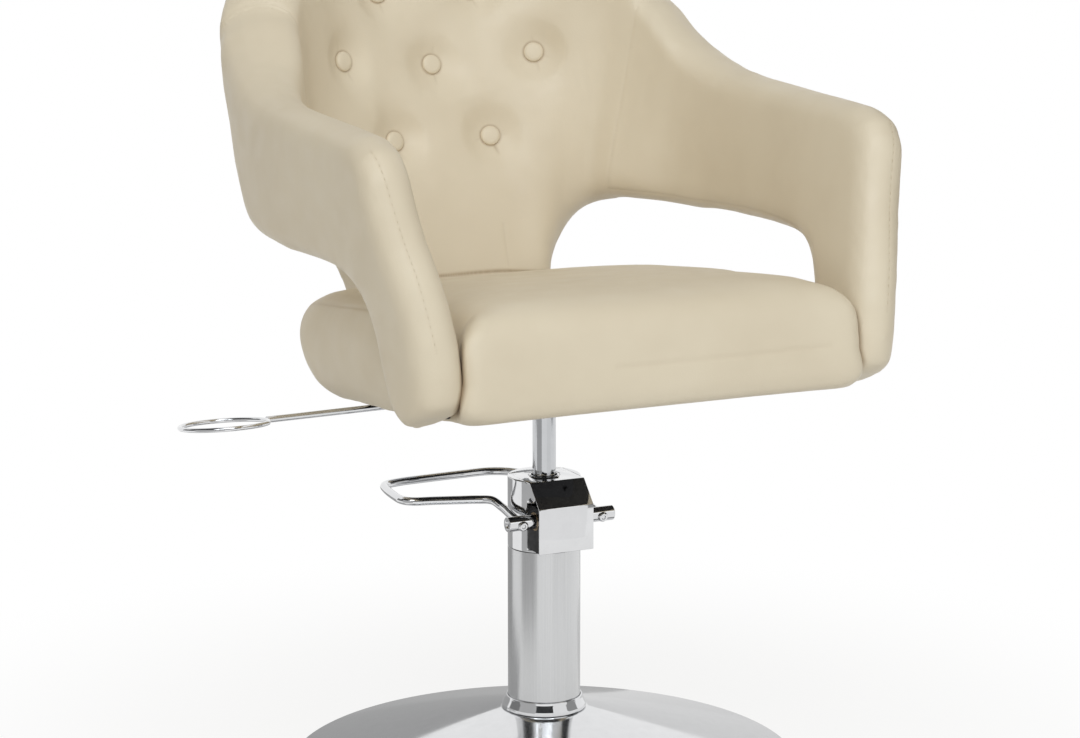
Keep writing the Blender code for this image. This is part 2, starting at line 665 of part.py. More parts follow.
def pedal_route(leg_up):
    """Centreline of the pedal loop from its left leg, behind the column, to its right leg."""
    low = Vector((0, math.cos(leg_up), math.sin(leg_up)))
    left = Vector((PEDAL_LEG, 0, 0))
    right = Vector((-PEDAL_LEG, 0, 0))
    start = low * PEDAL_WIRE * 0.6
    leg = low * PEDAL_LEG_LENGTH
    rounding = [(1.02, 0.45), (0.94, 0.69), (0.6, 0.9), (0.085, 0.995)]
    reaching = [(0.22, 1.0), (0.584, 0.99), (0.774, 0.978), (0.92, 0.94), (0.97, 0.838), (1.0, 0.665),
                (1.0, 0.557), (0.934, 0.497), (0.788, 0.465), (0.6, 0.416), (0.46, 0.378), (0.372, 0.324)]
    flat = [(PEDAL_LEG * x, PEDAL_REAR * y, PEDAL_RISE) for x, y in rounding]
    flat += [(-PEDAL_SIDE * x, PEDAL_REAR * y, PEDAL_RISE) for x, y in reaching]
    points = [left + start, left + leg * 0.5, left + leg * 0.9]
    points += [Vector(p) for p in flat]
    points += [right + leg * 0.9, right + leg * 0.5, right + start]
    return smooth_path(points, 2)


# Lift


def build_lift():
    turned("piston_rod", disc_profile(ROD_RADIUS, PISTON_TOP + GAP, ROD_TOP, ROD_CHAMFER), chrome("piston_rod"))
    groove = PISTON_RADIUS - PISTON_SEAL_DEPTH
    bottom = PISTON_TOP - PISTON_HEIGHT
    middle = PISTON_TOP - PISTON_HEIGHT / 2
    half = PISTON_SEAL_HEIGHT / 2
    turned("piston_head", [(0, PISTON_TOP), (PISTON_RADIUS, PISTON_TOP), (PISTON_RADIUS, middle + half + GAP),
                           (groove, middle + half + GAP), (groove, middle - half - GAP),
                           (PISTON_RADIUS, middle - half - GAP), (PISTON_RADIUS, bottom), (0, bottom)],
           steel("piston_head"))
    ring("piston_seal", tube_profile(groove + GAP, PISTON_RADIUS, middle - half, middle + half),
         rubber("piston_seal"))


# Seat


def build_seat():
    frame = empty("seat_frame", (0, 0, SEAT_PLANE), (-TILT, 0, 0))
    hub = turned("seat_hub", [(0, HUB_CEILING), (ROD_BORE, HUB_CEILING), (ROD_BORE, HUB_BOTTOM),
                              (HUB_RADIUS, HUB_BOTTOM), (HUB_RADIUS, SEAT_PLANE), (0, SEAT_PLANE)],
                 steel("seat_hub"))
    reach = 2 * HUB_RADIUS
    cut(hub, box("hub_slope", (-reach, -reach, PLATE_FOOT - GAP), (reach, reach, reach), parent=frame))
    plate = box("seat_plate", (-PLATE_HALF, -PLATE_HALF, PLATE_FOOT), (PLATE_HALF, PLATE_HALF, -GAP),
                steel("seat_plate"), bevel=PLATE_CORNER, parent=frame)
    board = box("seat_board", (-BOARD_HALF, BOARD_FRONT, 0), (BOARD_HALF, BOARD_REAR, BOARD_THICK),
                material("seat_board", BLACK_PAINT, 0.7), bevel=BOARD_CORNER, parent=frame)
    build_plate_bolts(frame, plate, board)
    return frame, board, build_cushion(frame)


def build_plate_bolts(frame, plate, board):
    seat = PLATE_FOOT - GAP
    head = PLATE_BOLT_HEAD
    tip = BOARD_THICK - PLATE_BOLT_SHORT
    corners = [(1, 1), (-1, 1), (-1, -1), (1, -1)]
    look = steel("plate_bolt")
    for i, (x, y) in enumerate(corners):
        place = (x * PLATE_BOLT_SPREAD, y * PLATE_BOLT_SPREAD, 0)
        tool = drill(plate, f"plate_hole_{i}", PLATE_BOLT_RADIUS + GAP, seat - PLATE_THICK, tip + GAP,
                     parent=frame, place=place)
        cut(board, tool)
        turned(f"plate_bolt_{i + 1}", [(0, tip), (PLATE_BOLT_RADIUS, tip), (PLATE_BOLT_RADIUS, seat),
                                       (head, seat), (head, seat - BOLT_HEAD_THICK), (0, seat - BOLT_HEAD_THICK)],
               look, SMALL_SIDES, parent=frame, place=place)


def corner_arc(x, y, radius, start):
    """Quarter turn about (x, y), from a start angle in degrees, anticlockwise."""
    steps = 5
    angles = [math.radians(start + 90.0 * i / steps) for i in range(steps + 1)]
    return [(x + radius * math.cos(a), y + radius * math.sin(a)) for a in angles]


def cushion_plan(front_inset, inset):
    """One level of the seat cushion in plan: nearly square in front, round behind."""
    front = SEAT_FRONT + front_inset
    rear = SEAT_REAR - inset
    half = SEAT_HALF - front_inset
    sharp = min(SEAT_FRONT_CORNER + CROWN_ROUNDING * front_inset, 0.8 * half)
    blunt = min(SEAT_REAR_CORNER + CROWN_ROUNDING * inset / 2, 0.8 * half)
    side = [front + sharp + (rear - blunt - front - sharp) * i / 8 for i in range(1, 8)]
    plan = corner_arc(half - sharp, front + sharp, sharp, 270)
    plan += [(half, y) for y in side]
    plan += corner_arc(half - blunt, rear - blunt, blunt, 0)
    plan.append((0.0, rear))
    mirror = [(-x, y) for x, y in reversed(plan[:-1])]
    across = [(half - sharp) * share for share in (-0.5, 0.0, 0.5)]
    return plan + mirror + [(x, front) for x in across]


def cushion_loop(front_inset, inset, height):
    """A level of the cushion, swollen behind the posts and bowed in front."""
    swell_from = POST_REAR + SEAT_SWELL_START
    loop = []
    for x, y in cushion_plan(front_inset, inset):
        behind = min(max((y - swell_from) / SEAT_SWELL_LENGTH, 0.0), 1.0)
        ease = behind * behind * (3 - 2 * behind)
        wide = 1 + ease * (SEAT_SWELL + front_inset - inset) / SEAT_HALF
        away = (y + BELLY_AHEAD) / BELLY_LENGTH
        sag = BELLY_DEPTH * math.exp(-away * away) * max(0.0, 1 - height / BELLY_HEIGHT)
        under = 0.0 if height == 0.0 else sag * min(abs(x) / SEAT_HALF, 1.0) ** 4
        loop.append((x * wide, y, height - under))
    return loop


def build_cushion(frame):
    """The seat cushion: tucked in below, full at the sides and crowned on top."""
    tuck = [(1.0, 1.0, 0.0), (0.44, 0.55, 0.04), (0.125, 0.25, 0.17), (0.0, 0.07, 0.36), (0.0, 0.0, 0.56)]
    crown = [(0.02, 0.015, 0.7), (0.09, 0.06, 0.83), (0.23, 0.16, 0.92), (0.44, 0.36, 0.965),
             (0.71, 0.68, 0.99), (1.0, 1.0, 1.0)]
    levels = [(TUCK_FRONT * ahead, TUCK_REAR * around, share) for ahead, around, share in tuck]
    levels += [(CROWN_INSET * ahead, CROWN_INSET * around, share) for ahead, around, share in crown]
    loops = [cushion_loop(ahead, around, share * SEAT_HEIGHT) for ahead, around, share in levels]
    cushion = loft("seat_cushion", loops, leather("seat_cushion"))
    cushion.parent = frame
    pocket = box("board_pocket", (-BOARD_HALF - GAP, BOARD_FRONT - GAP, -BOARD_THICK),
                 (BOARD_HALF + GAP, BOARD_REAR + GAP, BOARD_THICK + GAP), bevel=BOARD_CORNER, parent=frame)
    cut(cushion, pocket)
    return cushion


# Shell


def between(low, high, share):
    return low + (high - low) * share


def post_row(rim, hem, thick=ARM_THICK):
    """A level of the post. Each edge has its shares of the flare, of the depth and of the way up."""
    out, back, rise = rim
    sole = seat_plane(POST_FRONT) + CUSHION_GAP
    front = Vector((POST_X + ARM_FLARE * out, POST_FRONT + POST_DEPTH * back, between(sole, ARM_TOP, rise)))
    out, back, rise = hem
    sole = seat_plane(POST_REAR) + CUSHION_GAP
    rear = Vector((POST_X + ARM_FLARE * out, POST_REAR + POST_DEPTH * back, between(sole, WINDOW_TOP, rise)))
    return front, rear, thick, 0.0, 0.0


def arm_row(rim, hem, thick, bulge, pad=0.0):
    """A section of the arm. Its edges run from the post to the seam of the back."""
    out, along, rise = rim
    top = Vector((POST_X + ARM_FLARE * out, between(POST_FRONT, BACK_SEAM_Y, along),
                  between(ARM_TOP, BACK_TOP, rise)))
    across, along, drop = hem
    low = Vector((across, between(POST_REAR, BACK_SEAM_Y, along), WINDOW_TOP - ARM_THICK * drop))
    return top, low, thick, WING_BULGE * bulge, WING_PAD * pad


def back_row(rim, hem, bulge, pad=0.0):
    """A section of the back. Its rim falls from the middle, its hem climbs from the back's foot."""
    across, forward, drop = rim
    top = Vector((BACK_TOP_HALF * across, between(BACK_TOP_Y, BACK_SEAM_Y, forward),
                  between(BACK_TOP, ARM_TOP, drop)))
    across, behind, rise = hem
    sole = seat_plane(BACK_FOOT_Y) + BACK_FOOT_GAP
    low = Vector((BACK_FOOT_HALF * across, BACK_FOOT_Y + BACK_THICK * behind, between(sole, WINDOW_TOP, rise)))
    return top, low, BACK_THICK, LUMBAR_BULGE * bulge, WING_PAD * pad


def shell_stations():
    """Rim, hem, thickness, outward bulge and padding of the +X half, from the post's foot to the back's middle."""
    mean = (ARM_THICK + BACK_THICK) / 2

    def hem_x(share):
        return POST_X + ARM_FLARE * share

    return [
        post_row((0.0, 0.316, 0.0), (0.05, -0.404, 0.0), 0.72 * ARM_THICK),
        post_row((0.0, 0.123, 0.033), (0.05, -0.263, 0.084)),
        post_row((0.0, 0.0, 0.1), (0.1, -0.105, 0.24)),
        post_row((0.154, 0.035, 0.306), (0.23, 0.035, 0.645)),
        post_row((0.436, 0.158, 0.5), (0.31, 0.167, 0.833)),
        post_row((0.744, 0.325, 0.68), (0.385, 0.333, 0.93)),
        arm_row((1.0, 0.1035, -0.165), (hem_x(0.46), 0.16, 0.07), ARM_THICK, 0.0),
        arm_row((1.03, 0.172, -0.038), (hem_x(0.51), 0.234, 0.02), ARM_THICK, 0.0),
        arm_row((1.0, 0.351, -0.011), (hem_x(0.59), 0.392, 0.02), ARM_THICK, 0.0),
        arm_row((1.0, 0.533, 0.011), (hem_x(0.64), 0.603, 0.07), ARM_THICK, 0.0),
        arm_row((0.95, 0.696, 0.044), (hem_x(0.51), 0.74, 0.12), ARM_THICK, 0.0, 0.3),
        arm_row((0.82, 0.828, 0.148), (hem_x(0.13), 0.855, 0.1), ARM_THICK, 0.375, 0.9),
        arm_row((0.615, 0.923, 0.297), (1.02 * BACK_SEAM_X, 0.929, 0.07), mean, 0.75, 1.35),
        arm_row((0.385, 1.0, 0.489), (0.905 * BACK_SEAM_X, 1.0, 0.085), BACK_THICK, 1.0, 1.25),
        back_row((1.0, 0.82, 0.313), (1.667, 0.66, 0.937), 0.625, 1.0),
        back_row((0.861, 0.609, 0.148), (1.463, 0.706, 0.869), 0.25, 0.75),
        back_row((0.704, 0.354, 0.06), (1.278, 0.632, 0.759), -0.625, 0.35),
        back_row((0.53, 0.193, 0.022), (1.13, 0.53, 0.608), -1.0),
        back_row((0.365, 0.093, 0.011), (1.028, 0.353, 0.388), -0.875),
        back_row((0.235, 0.037, 0.005), (0.852, 0.147, 0.126), -0.5),
        back_row((0.117, 0.009, 0.0), (0.45, 0.0, 0.021), 0.0),
        back_row((0.0, 0.0, 0.0), (0.0, 0.0, 0.0), 0.0),
    ]


SEAM_STATION = 13
STATIONS = shell_stations()
MIDDLE_STATION = len(STATIONS) - 1


def shell_values(at):
    """Rim, hem, thickness, bulge and padding at any station of the whole shell, the -X half mirrored."""
    mirrored = at > MIDDLE_STATION
    half = 2 * MIDDLE_STATION - at if mirrored else at
    rims = [row[0] for row in STATIONS]
    hems = [row[1] for row in STATIONS]
    others = [row[2:] for row in STATIONS]
    beyond = [(Vector((-v.x, v.y, v.z))) for v in reversed(rims[-3:-1])]
    rim = spline(rims + beyond, half)
    beyond = [(Vector((-v.x, v.y, v.z))) for v in reversed(hems[-3:-1])]
    hem = spline(hems + beyond, half)
    thick, bulge, pad = spline(others + [others[-2], others[-3]], half)
    if mirrored:
        rim.x = -rim.x
        hem.x = -hem.x
    return rim, hem, thick, bulge, pad


def shell_frame(at):
    """Section frame of the shell: hem point, way to the rim, length, outward normal, thickness, bulge, padding."""
    rim, hem, thick, bulge, pad = shell_values(at)
    step = 0.02
    before = shell_values(max(at - step, 0))
    after = shell_values(min(at + step, 2 * MIDDLE_STATION))
    along = (after[0] + after[1]) - (before[0] + before[1])
    up = rim - hem
    out = up.cross(along).normalized()
    middle = (rim + hem) / 2
    if out.dot(Vector((middle.x, middle.y, 0))) < 0:
        out = -out
    return hem, up.normalized(), up.length, out, thick, bulge, pad


def face_point(frame, share, side):
    """A point on the inner (-1) or outer (+1) face at a share of the way from hem to rim."""
    hem, up, length, out, thick, bulge, pad = frame
    lift = 4 * share * (1 - share)
    swell = EDGE_FULLNESS + (1 - EDGE_FULLNESS) * min(1.0, lift * length / (3 * thick))
    reach = swell * thick / 2 + (pad * share if side < 0 else 0.0)
    return hem + up * (length * share) + out * (bulge * lift + side * reach)


def section(frame, inner_count, outer_count, dimples=()):
    """A closed section: up the inner face, round the rim, down the outer face, round the hem."""
    hem, up, length, out, thick, bulge, pad = frame
    radius = EDGE_FULLNESS * thick / 2
    low = radius / length
    high = 1 - low
    points = []
    for i in range(inner_count):
        share = low + (high - low) * i / (inner_count - 1)
        point = face_point(frame, share, -1)
        sink = max([dimple_depth(point, centre) for centre in dimples], default=0.0)
        points.append(point + out * sink)
    arc = 5
    for share, way, start in ((high, 1, -1), (low, -1, 1)):
        centre = (face_point(frame, share, -1) + face_point(frame, share, 1)) / 2
        reach = (face_point(frame, share, 1) - centre).length
        for k in range(1, arc):
            angle = math.pi * k / arc
            points.append(centre + out * (start * reach * math.cos(angle)) + up * (way * radius * math.sin(angle)))
        if way == 1:
            for i in range(outer_count):
                share_out = high - (high - low) * i / (outer_count - 1)
                points.append(face_point(frame, share_out, 1))
    return points


def dimple_depth(point, centre):
    away = (point - centre).length / BUTTON_SPREAD
    return BUTTON_DIMPLE * math.exp(-away * away)


def shell_loops(first, last, count, inner_count, outer_count, dimples=()):
    """Sections from one station to another, drawn in by half a gap where two pieces meet."""
    loops = []
    for i in range(count + 1):
        at = first + (last - first) * i / count
        loops.append(section(shell_frame(at), inner_count, outer_count, dimples))
    for end, neighbour in ((0, 1), (-1, -2)):
        pull = sum(loops[neighbour], Vector()) - sum(loops[end], Vector())
        move = pull.normalized() * (0.75 * GAP)
        loops[end] = [point + move for point in loops[end]]
    return loops


def mirrored_loops(loops):
    return [[Vector((-p.x, p.y, p.z)) for p in reversed(loop)] for loop in loops]


def button_spots():
    """Places of the buttons across the back in staggered rows, as (x, z)."""
    half = BUTTON_PITCH / 2
    high = BACK_TOP - BUTTON_TOP_INSET
    middle = high - BUTTON_ROW_STEP
    low = middle - BUTTON_ROW_STEP
    side = middle + BUTTON_ROW_ARCH
    return [(-half, low), (half, low), (-2 * half, side), (0.0, middle), (2 * half, side),
            (-half, high), (half, high)]


def inner_spot(x, z):
    """Point of the back's inner face at a given x and z, with the outward normal there."""
    at = float(MIDDLE_STATION)
    share = 0.5
    for _ in range(40):
        frame = shell_frame(at)
        point = face_point(frame, share, -1)
        step = 0.05
        slope_at = (face_point(shell_frame(at + step), share, -1) - point).x / step
        slope_share = (face_point(frame, share + step, -1) - point).z / step
        at += 0.7 * (x - point.x) / slope_at
        share += 0.7 * (z - point.z) / slope_share
    frame = shell_frame(at)
    return face_point(frame, share, -1), frame[3]


def build_shell():
    spots = [inner_spot(x, z) for x, z in button_spots()]
    dimples = [point for point, _ in spots]
    arm = shell_loops(0, SEAM_STATION, 22, 6, 6)
    arms = {"left": loft("arm_left", arm, leather("arm_left")),
            "right": loft("arm_right", mirrored_loops(arm), leather("arm_right"))}
    back = shell_loops(SEAM_STATION, 2 * MIDDLE_STATION - SEAM_STATION, 28, 15, 6, dimples)
    backrest = loft("backrest", back, leather("backrest"))
    for i, (point, out) in enumerate(spots):
        build_button(i + 1, point, out, backrest)
    return arms, backrest


def build_button(number, point, out, backrest):
    """A covered button in the pocket at the bottom of its dimple."""
    place = point + out * BUTTON_DIMPLE
    turn = (-out).to_track_quat('Z', 'Y').to_euler()
    r = BUTTON_RADIUS
    h = BUTTON_CROWN
    turned(f"button_{number}", [(0, h), (0.5 * r, 0.86 * h), (0.82 * r, 0.5 * h), (r, 0), (r, -BUTTON_STEM),
                                (0, -BUTTON_STEM)], leather(f"button_{number}"), SMALL_SIDES, place=place, turn=turn)
    drill(backrest, f"button_pocket_{number}", r + GAP, -BUTTON_STEM - GAP, BUTTON_DIMPLE,
          place=place, turn=turn)


# Brackets under the seat


def build_brackets(frame, backrest):
    look = steel("back_bracket")
    half = BRACKET_WIDTH / 2
    low = -GAP - BRACKET_THICK
    front = PLATE_HALF + BRACKET_CLEAR
    rear = BACK_FOOT_Y / math.cos(TILT)
    for side, sign in (("left", 1), ("right", -1)):
        x = sign * BRACKET_X
        bracket = box(f"back_bracket_{side}", (x - half, front, low), (x + half, rear + half, -GAP),
                      look, parent=frame)
        build_screw(f"back_screw_{side}", (x, rear, low), frame, (bracket, backrest))


def build_arm_bolts(frame, board, cushion, arms):
    """A bolt on each side, out of the seat board and through the cushion's side into the post."""
    inner = BOARD_HALF - ARM_BOLT_DEPTH
    outer = SEAT_HALF + CUSHION_GAP + ARM_BOLT_DEPTH
    across = (0, math.pi / 2, 0)
    for side, sign in (("left", 1), ("right", -1)):
        place = (0, (POST_FRONT + POST_REAR) / 2, BOARD_THICK / 2)
        low, high = sorted((sign * inner, sign * outer))
        turned(f"arm_bolt_{side}", disc_profile(ARM_BOLT_RADIUS, low, high), steel(f"arm_bolt_{side}"), SMALL_SIDES,
               parent=frame, place=place, turn=across)
        tool = drill(board, f"arm_bolt_hole_{side}", ARM_BOLT_RADIUS + GAP, low - GAP, high + GAP,
                     parent=frame, place=place, turn=across)
        cut(cushion, tool)
        cut(arms[side], tool)


def build_screw(name, place, frame, targets):
    """A round-headed screw driven up through a bar into the piece above it."""
    seat = -GAP
    tip = seat + SCREW_LENGTH
    turned(name, [(0, tip), (SCREW_RADIUS, tip), (SCREW_RADIUS, seat), (SCREW_HEAD_RADIUS, seat),
                  (SCREW_HEAD_RADIUS, seat - SCREW_HEAD_THICK), (0, seat - SCREW_HEAD_THICK)],
           steel(name), SMALL_SIDES, parent=frame, place=place)
    hole = disc_profile(SCREW_RADIUS + GAP, seat - BRACKET_THICK, tip + GAP)
    tool = turned(f"{name}_hole", hole, None, SMALL_SIDES, parent=frame, place=place)
    for target in targets:
        cut(target, tool)


# Dryer holder


def build_holder(frame):
    block = box("holder_block", (HOLDER_X - HOLDER_BLOCK, HOLDER_Y - HOLDER_BLOCK, -GAP - HOLDER_BLOCK_THICK),
                (HOLDER_X + HOLDER_BLOCK, HOLDER_Y + HOLDER_BLOCK, -GAP), steel("holder_block"), parent=frame)
    bore = HOLDER_WIRE + GAP
    drill(block, "holder_bore", bore, -2 * HOLDER_DROP, HOLDER_DROP, parent=frame, place=(HOLDER_X, HOLDER_Y, 0))
    swing = empty("holder_axis", (HOLDER_X, HOLDER_Y, 0), (0, 0, math.radians(HOLDER_TURN)), parent=frame)
    bend = HOLDER_BEND
    drop = -HOLDER_DROP
    corner = [(-bend * (1 - math.cos(a)), 0, drop + bend * (1 - math.sin(a)))
              for a in (math.radians(d) for d in range(0, 91, 15))]
    tip = -HOLDER_REACH
    route = [(0, 0, -2 * GAP), (0, 0, drop / 3)] + corner + [(tip / 2, 0, drop), (tip, 0, drop)]
    wire("holder_rod", route, HOLDER_WIRE, chrome("holder_rod"), parent=swing)
    outer = RING_RADIUS + RING_WIRE
    profile = [(RING_RADIUS + RING_WIRE * math.cos(a), RING_WIRE * math.sin(a))
               for a in (math.tau * k / 8 for k in range(8))]
    tilt = math.radians(RING_TILT)
    centre = (tip - GAP - outer * math.cos(tilt), 0, drop - outer * math.sin(tilt))
    ring("holder_ring", profile, chrome("holder_ring"), ROUND_SIDES, parent=swing, place=centre, turn=(0, -tilt, 0))


def main():
    clear_scene()
    build_base()
    build_column()
    build_cover()
    build_pump()
    build_pedal()
    build_lift()
    frame, board, cushion = build_seat()
    arms, backrest = build_shell()
    build_arm_bolts(frame, board, cushion, arms)
    build_brackets(frame, backrest)
    build_holder(frame)


main()
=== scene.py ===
# %% [markdown]
# # Dressing a hairdressing chair
#
# The solids of this chair come in as a fixed frame: every piece already stands where it belongs, in metres,
# with the column on the Z axis and the sitter looking along -Y. This lesson keeps the solids that look
# right, gives them a finish, and makes finer pieces for what the eye rests on: the padded leather, the
# polished base, the pump with its pedal, and the ring for the hair dryer.

# %% Load the frame
import json
import math

import bmesh
import bpy
import numpy as np
from mathutils import Matrix, Vector
from mathutils.bvhtree import BVHTree
from mathutils.kdtree import KDTree


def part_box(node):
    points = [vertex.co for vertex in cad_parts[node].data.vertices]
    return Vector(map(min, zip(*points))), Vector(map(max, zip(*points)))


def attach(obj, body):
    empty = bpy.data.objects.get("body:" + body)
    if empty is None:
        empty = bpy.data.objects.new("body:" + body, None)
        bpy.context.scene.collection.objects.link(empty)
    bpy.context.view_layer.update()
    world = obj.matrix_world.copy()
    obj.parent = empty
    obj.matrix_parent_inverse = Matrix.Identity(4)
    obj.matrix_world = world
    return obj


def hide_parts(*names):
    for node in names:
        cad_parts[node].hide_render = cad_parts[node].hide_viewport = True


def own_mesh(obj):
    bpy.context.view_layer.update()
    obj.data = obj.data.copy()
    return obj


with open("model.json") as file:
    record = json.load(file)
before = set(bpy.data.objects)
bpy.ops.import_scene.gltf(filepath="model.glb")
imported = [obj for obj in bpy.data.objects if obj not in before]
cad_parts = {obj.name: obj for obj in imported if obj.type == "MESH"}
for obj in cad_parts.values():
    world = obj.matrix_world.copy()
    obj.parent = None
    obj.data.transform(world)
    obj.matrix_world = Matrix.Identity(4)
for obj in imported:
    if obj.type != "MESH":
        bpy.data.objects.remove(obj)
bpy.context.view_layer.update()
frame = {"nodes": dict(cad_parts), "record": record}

scene = bpy.context.scene
scene.view_settings.view_transform = "Standard"

# %% [markdown]
# ## The camera
#
# The photograph was taken from the sitter's right, a little above the arms, with a long lens. A long lens
# keeps the column and the posts almost parallel. The place and direction below came from matching the
# corners of the solids to the picture, so nothing has to be fitted by eye later.

# %% Camera
eye = bpy.data.objects.new("eye", bpy.data.cameras.new("eye"))
scene.collection.objects.link(eye)
eye.location = (-1.4619, -2.9852, 1.1163)
eye.rotation_euler = Vector((0.430, 0.881, -0.199)).to_track_quat("-Z", "Y").to_euler()
eye.data.sensor_fit = "HORIZONTAL"
eye.data.sensor_width = 36.0
eye.data.lens = 106.667
scene.camera = eye
print("camera lens", eye.data.lens, "mm")

# %% [markdown]
# ## Nodes in one line
#
# Every finish below is a small graph of nodes on Object coordinates. Writing each link by hand would hide
# the idea behind the plumbing, so a few helpers do it. One adds a node and fills its sockets, one makes
# noise of a given grain, and others turn a grey value into a range, a blend of colours or a bump.

# %% Node helpers
def node(tree, kind, inputs=None, **settings):
    """Add a node, set its properties, and fill or link its sockets."""
    made = tree.nodes.new(kind)
    for key, value in settings.items():
        setattr(made, key, value)
    for key, value in (inputs or {}).items():
        if isinstance(value, bpy.types.NodeSocket):
            tree.links.new(value, made.inputs[key])
        else:
            made.inputs[key].default_value = value
    return made


def place_on_piece(tree, stretch=(1, 1, 1)):
    """Object coordinates, stretched along the piece's own axes."""
    spot = node(tree, "ShaderNodeTexCoord").outputs["Object"]
    return node(tree, "ShaderNodeMapping", {"Vector": spot, "Scale": stretch}).outputs["Vector"]


def grain(tree, size, detail=2.0, stretch=(1, 1, 1)):
    """Noise whose blotches are about `size` metres across."""
    where = place_on_piece(tree, stretch)
    made = node(tree, "ShaderNodeTexNoise", {"Vector": where, "Scale": 1.0 / size, "Detail": detail})
    return made.outputs["Fac"]


def spread(tree, value, low, high):
    """Map the usual greys of a noise, 0.3 to 0.7, to a range."""
    made = node(tree, "ShaderNodeMapRange", {"Value": value, "From Min": 0.3, "From Max": 0.7,
                                             "To Min": low, "To Max": high})
    return made.outputs["Result"]


def blend_colours(tree, value, first, second):
    """Blend two colours by a grey value. The node's colours are sockets 6 and 7, its result is number 2."""
    return node(tree, "ShaderNodeMix", {0: value, 6: first, 7: second}, data_type="RGBA").outputs[2]


def two_tones(tree, noise, first, second):
    """Two colours in the blotches of a noise."""
    return blend_colours(tree, spread(tree, noise, 0.0, 1.0), first, second)


def opaque(colour, share=1.0):
    """The colour, darkened to a share of itself, with the alpha that sockets want."""
    return tuple(c * share for c in colour) + (1,)


def dent(tree, height, strength, depth):
    """A bump from a grey height, `depth` metres deep at most."""
    made = node(tree, "ShaderNodeBump", {"Height": height, "Strength": strength, "Distance": depth})
    return made.outputs["Normal"]


def new_finish(name, **fixed):
    """A material, its graph and its shader with the even values set."""
    made = bpy.data.materials.new(name)
    made.use_nodes = True
    shader = made.node_tree.nodes["Principled BSDF"]
    for key, value in fixed.items():
        shader.inputs[key.replace("_", " ")].default_value = value
    return made, made.node_tree, shader


def feed(tree, shader, **links):
    """Link graphs to the shader's sockets."""
    for key, value in links.items():
        tree.links.new(value, shader.inputs[key.replace("_", " ")])


print("node helpers ready")

# %% [markdown]
# ## Cream leather
#
# The cover is artificial leather: a matt cream film with a pebbled grain about a millimetre across. The
# grain is a cell pattern pressed in as a bump. A slow noise shifts the tone a little, as real hides and
# prints do. Shade is painted into the colour where the cover is pulled into a seam, under a button or into
# a gap between cushions: the pieces carry a value of painted shade on their points, and the colour darkens
# towards a warm brown as it grows.

# %% Leather finish
PEBBLES = 950.0  # grains of the leather in a metre


def leather_finish():
    made, tree, shader = new_finish("cream_leather", Specular_IOR_Level=0.5, Sheen_Weight=0.05,
                                    Sheen_Roughness=0.5)
    tone = two_tones(tree, grain(tree, 0.11, 3.0), (0.708, 0.622, 0.480, 1), (0.755, 0.672, 0.526, 1))
    painted_shade = node(tree, "ShaderNodeAttribute", attribute_name="painted_shade").outputs["Fac"]
    # painted shade: the colour darkens towards brown where the points' painted shade value is high
    colour = blend_colours(tree, painted_shade, tone, (0.33, 0.23, 0.13, 1))
    cells = node(tree, "ShaderNodeTexVoronoi", {"Vector": place_on_piece(tree), "Scale": PEBBLES},
                 feature="SMOOTH_F1").outputs["Distance"]
    folds = grain(tree, 0.006, 3.0)
    height = node(tree, "ShaderNodeMath", {0: cells, 1: folds}, operation="ADD").outputs["Value"]
    feed(tree, shader, Base_Color=colour, Roughness=spread(tree, grain(tree, 0.025), 0.42, 0.56),
         Normal=dent(tree, height, 0.16, 0.0004))
    return made


cream_leather = leather_finish()
print("finish:", cream_leather.name)

# %% [markdown]
# ## Metals
#
# Chrome and steel carry the chair. The base, the rod, the pump cover and the wires are mirror chrome, whose
# roughness varies only slightly where it has been wiped. The column tube is satin: drawn lengthwise, so its
# fine lines run along Z. The works are plain machined steel, dark with oil inside the pump and blackened
# under the seat, and their bushes are bronze.
# Metal has no colour of its own beyond a grey tint, so the surroundings do most of the work.

# %% Metal finishes
def mixed_finish(name, tones, rough, tone_noise, rough_noise, bump=None, **fixed):
    """Two colours and a range of roughness, each in the blotches of a noise, and perhaps a bump."""
    made, tree, shader = new_finish(name, **fixed)
    feed(tree, shader, Base_Color=two_tones(tree, grain(tree, *tone_noise), *tones),
         Roughness=spread(tree, grain(tree, *rough_noise), *rough))
    if bump:
        noise, strength, depth = bump
        feed(tree, shader, Normal=dent(tree, grain(tree, *noise), strength, depth))
    return made


def chrome(name, rough, tint=(0.745, 0.75, 0.76)):
    tones = opaque(tint), opaque(tint, 0.965)
    return mixed_finish(name, tones, rough, (0.012, 3.0), (0.05, 4.0), Metallic=1.0)


def machined(name, colour, rough):
    tones, scratches = (opaque(colour), opaque(colour, 0.78)), ((0.0012,), 0.1, 0.0002)
    return mixed_finish(name, tones, rough, (0.02, 4.0), (0.006, 3.0), scratches, Metallic=1.0)


DRAWN_LINES = (0.0012, 2.0, (1, 1, 0.008))
mirror_chrome = chrome("mirror_chrome", (0.035, 0.085))
dome_chrome = chrome("dome_chrome", (0.07, 0.13))
rod_chrome = chrome("rod_chrome", (0.05, 0.11), (0.58, 0.59, 0.605))
satin_steel = mixed_finish("satin_steel", ((0.60, 0.605, 0.61, 1), (0.65, 0.655, 0.66, 1)), (0.20, 0.25),
                           DRAWN_LINES, DRAWN_LINES, (DRAWN_LINES, 0.012, 0.0001), Metallic=1.0)
plain_steel = machined("plain_steel", (0.52, 0.53, 0.54), (0.28, 0.45))
oiled_steel = machined("oiled_steel", (0.17, 0.175, 0.18), (0.25, 0.4))
blackened_steel = machined("blackened_steel", (0.030, 0.030, 0.031), (0.35, 0.5))
bearing_bronze = machined("bearing_bronze", (0.30, 0.22, 0.13), (0.25, 0.4))
print("finishes:", [m.name for m in (mirror_chrome, dome_chrome, rod_chrome, satin_steel, plain_steel,
                                    oiled_steel, blackened_steel, bearing_bronze)])

# %% [markdown]
# ## Rubber, board and thread
#
# The rest is quiet: a matt rubber pad and seals, the plywood board under the seat, painted black where
# nobody looks but the chrome below mirrors it, and a thread a shade darker than the leather.

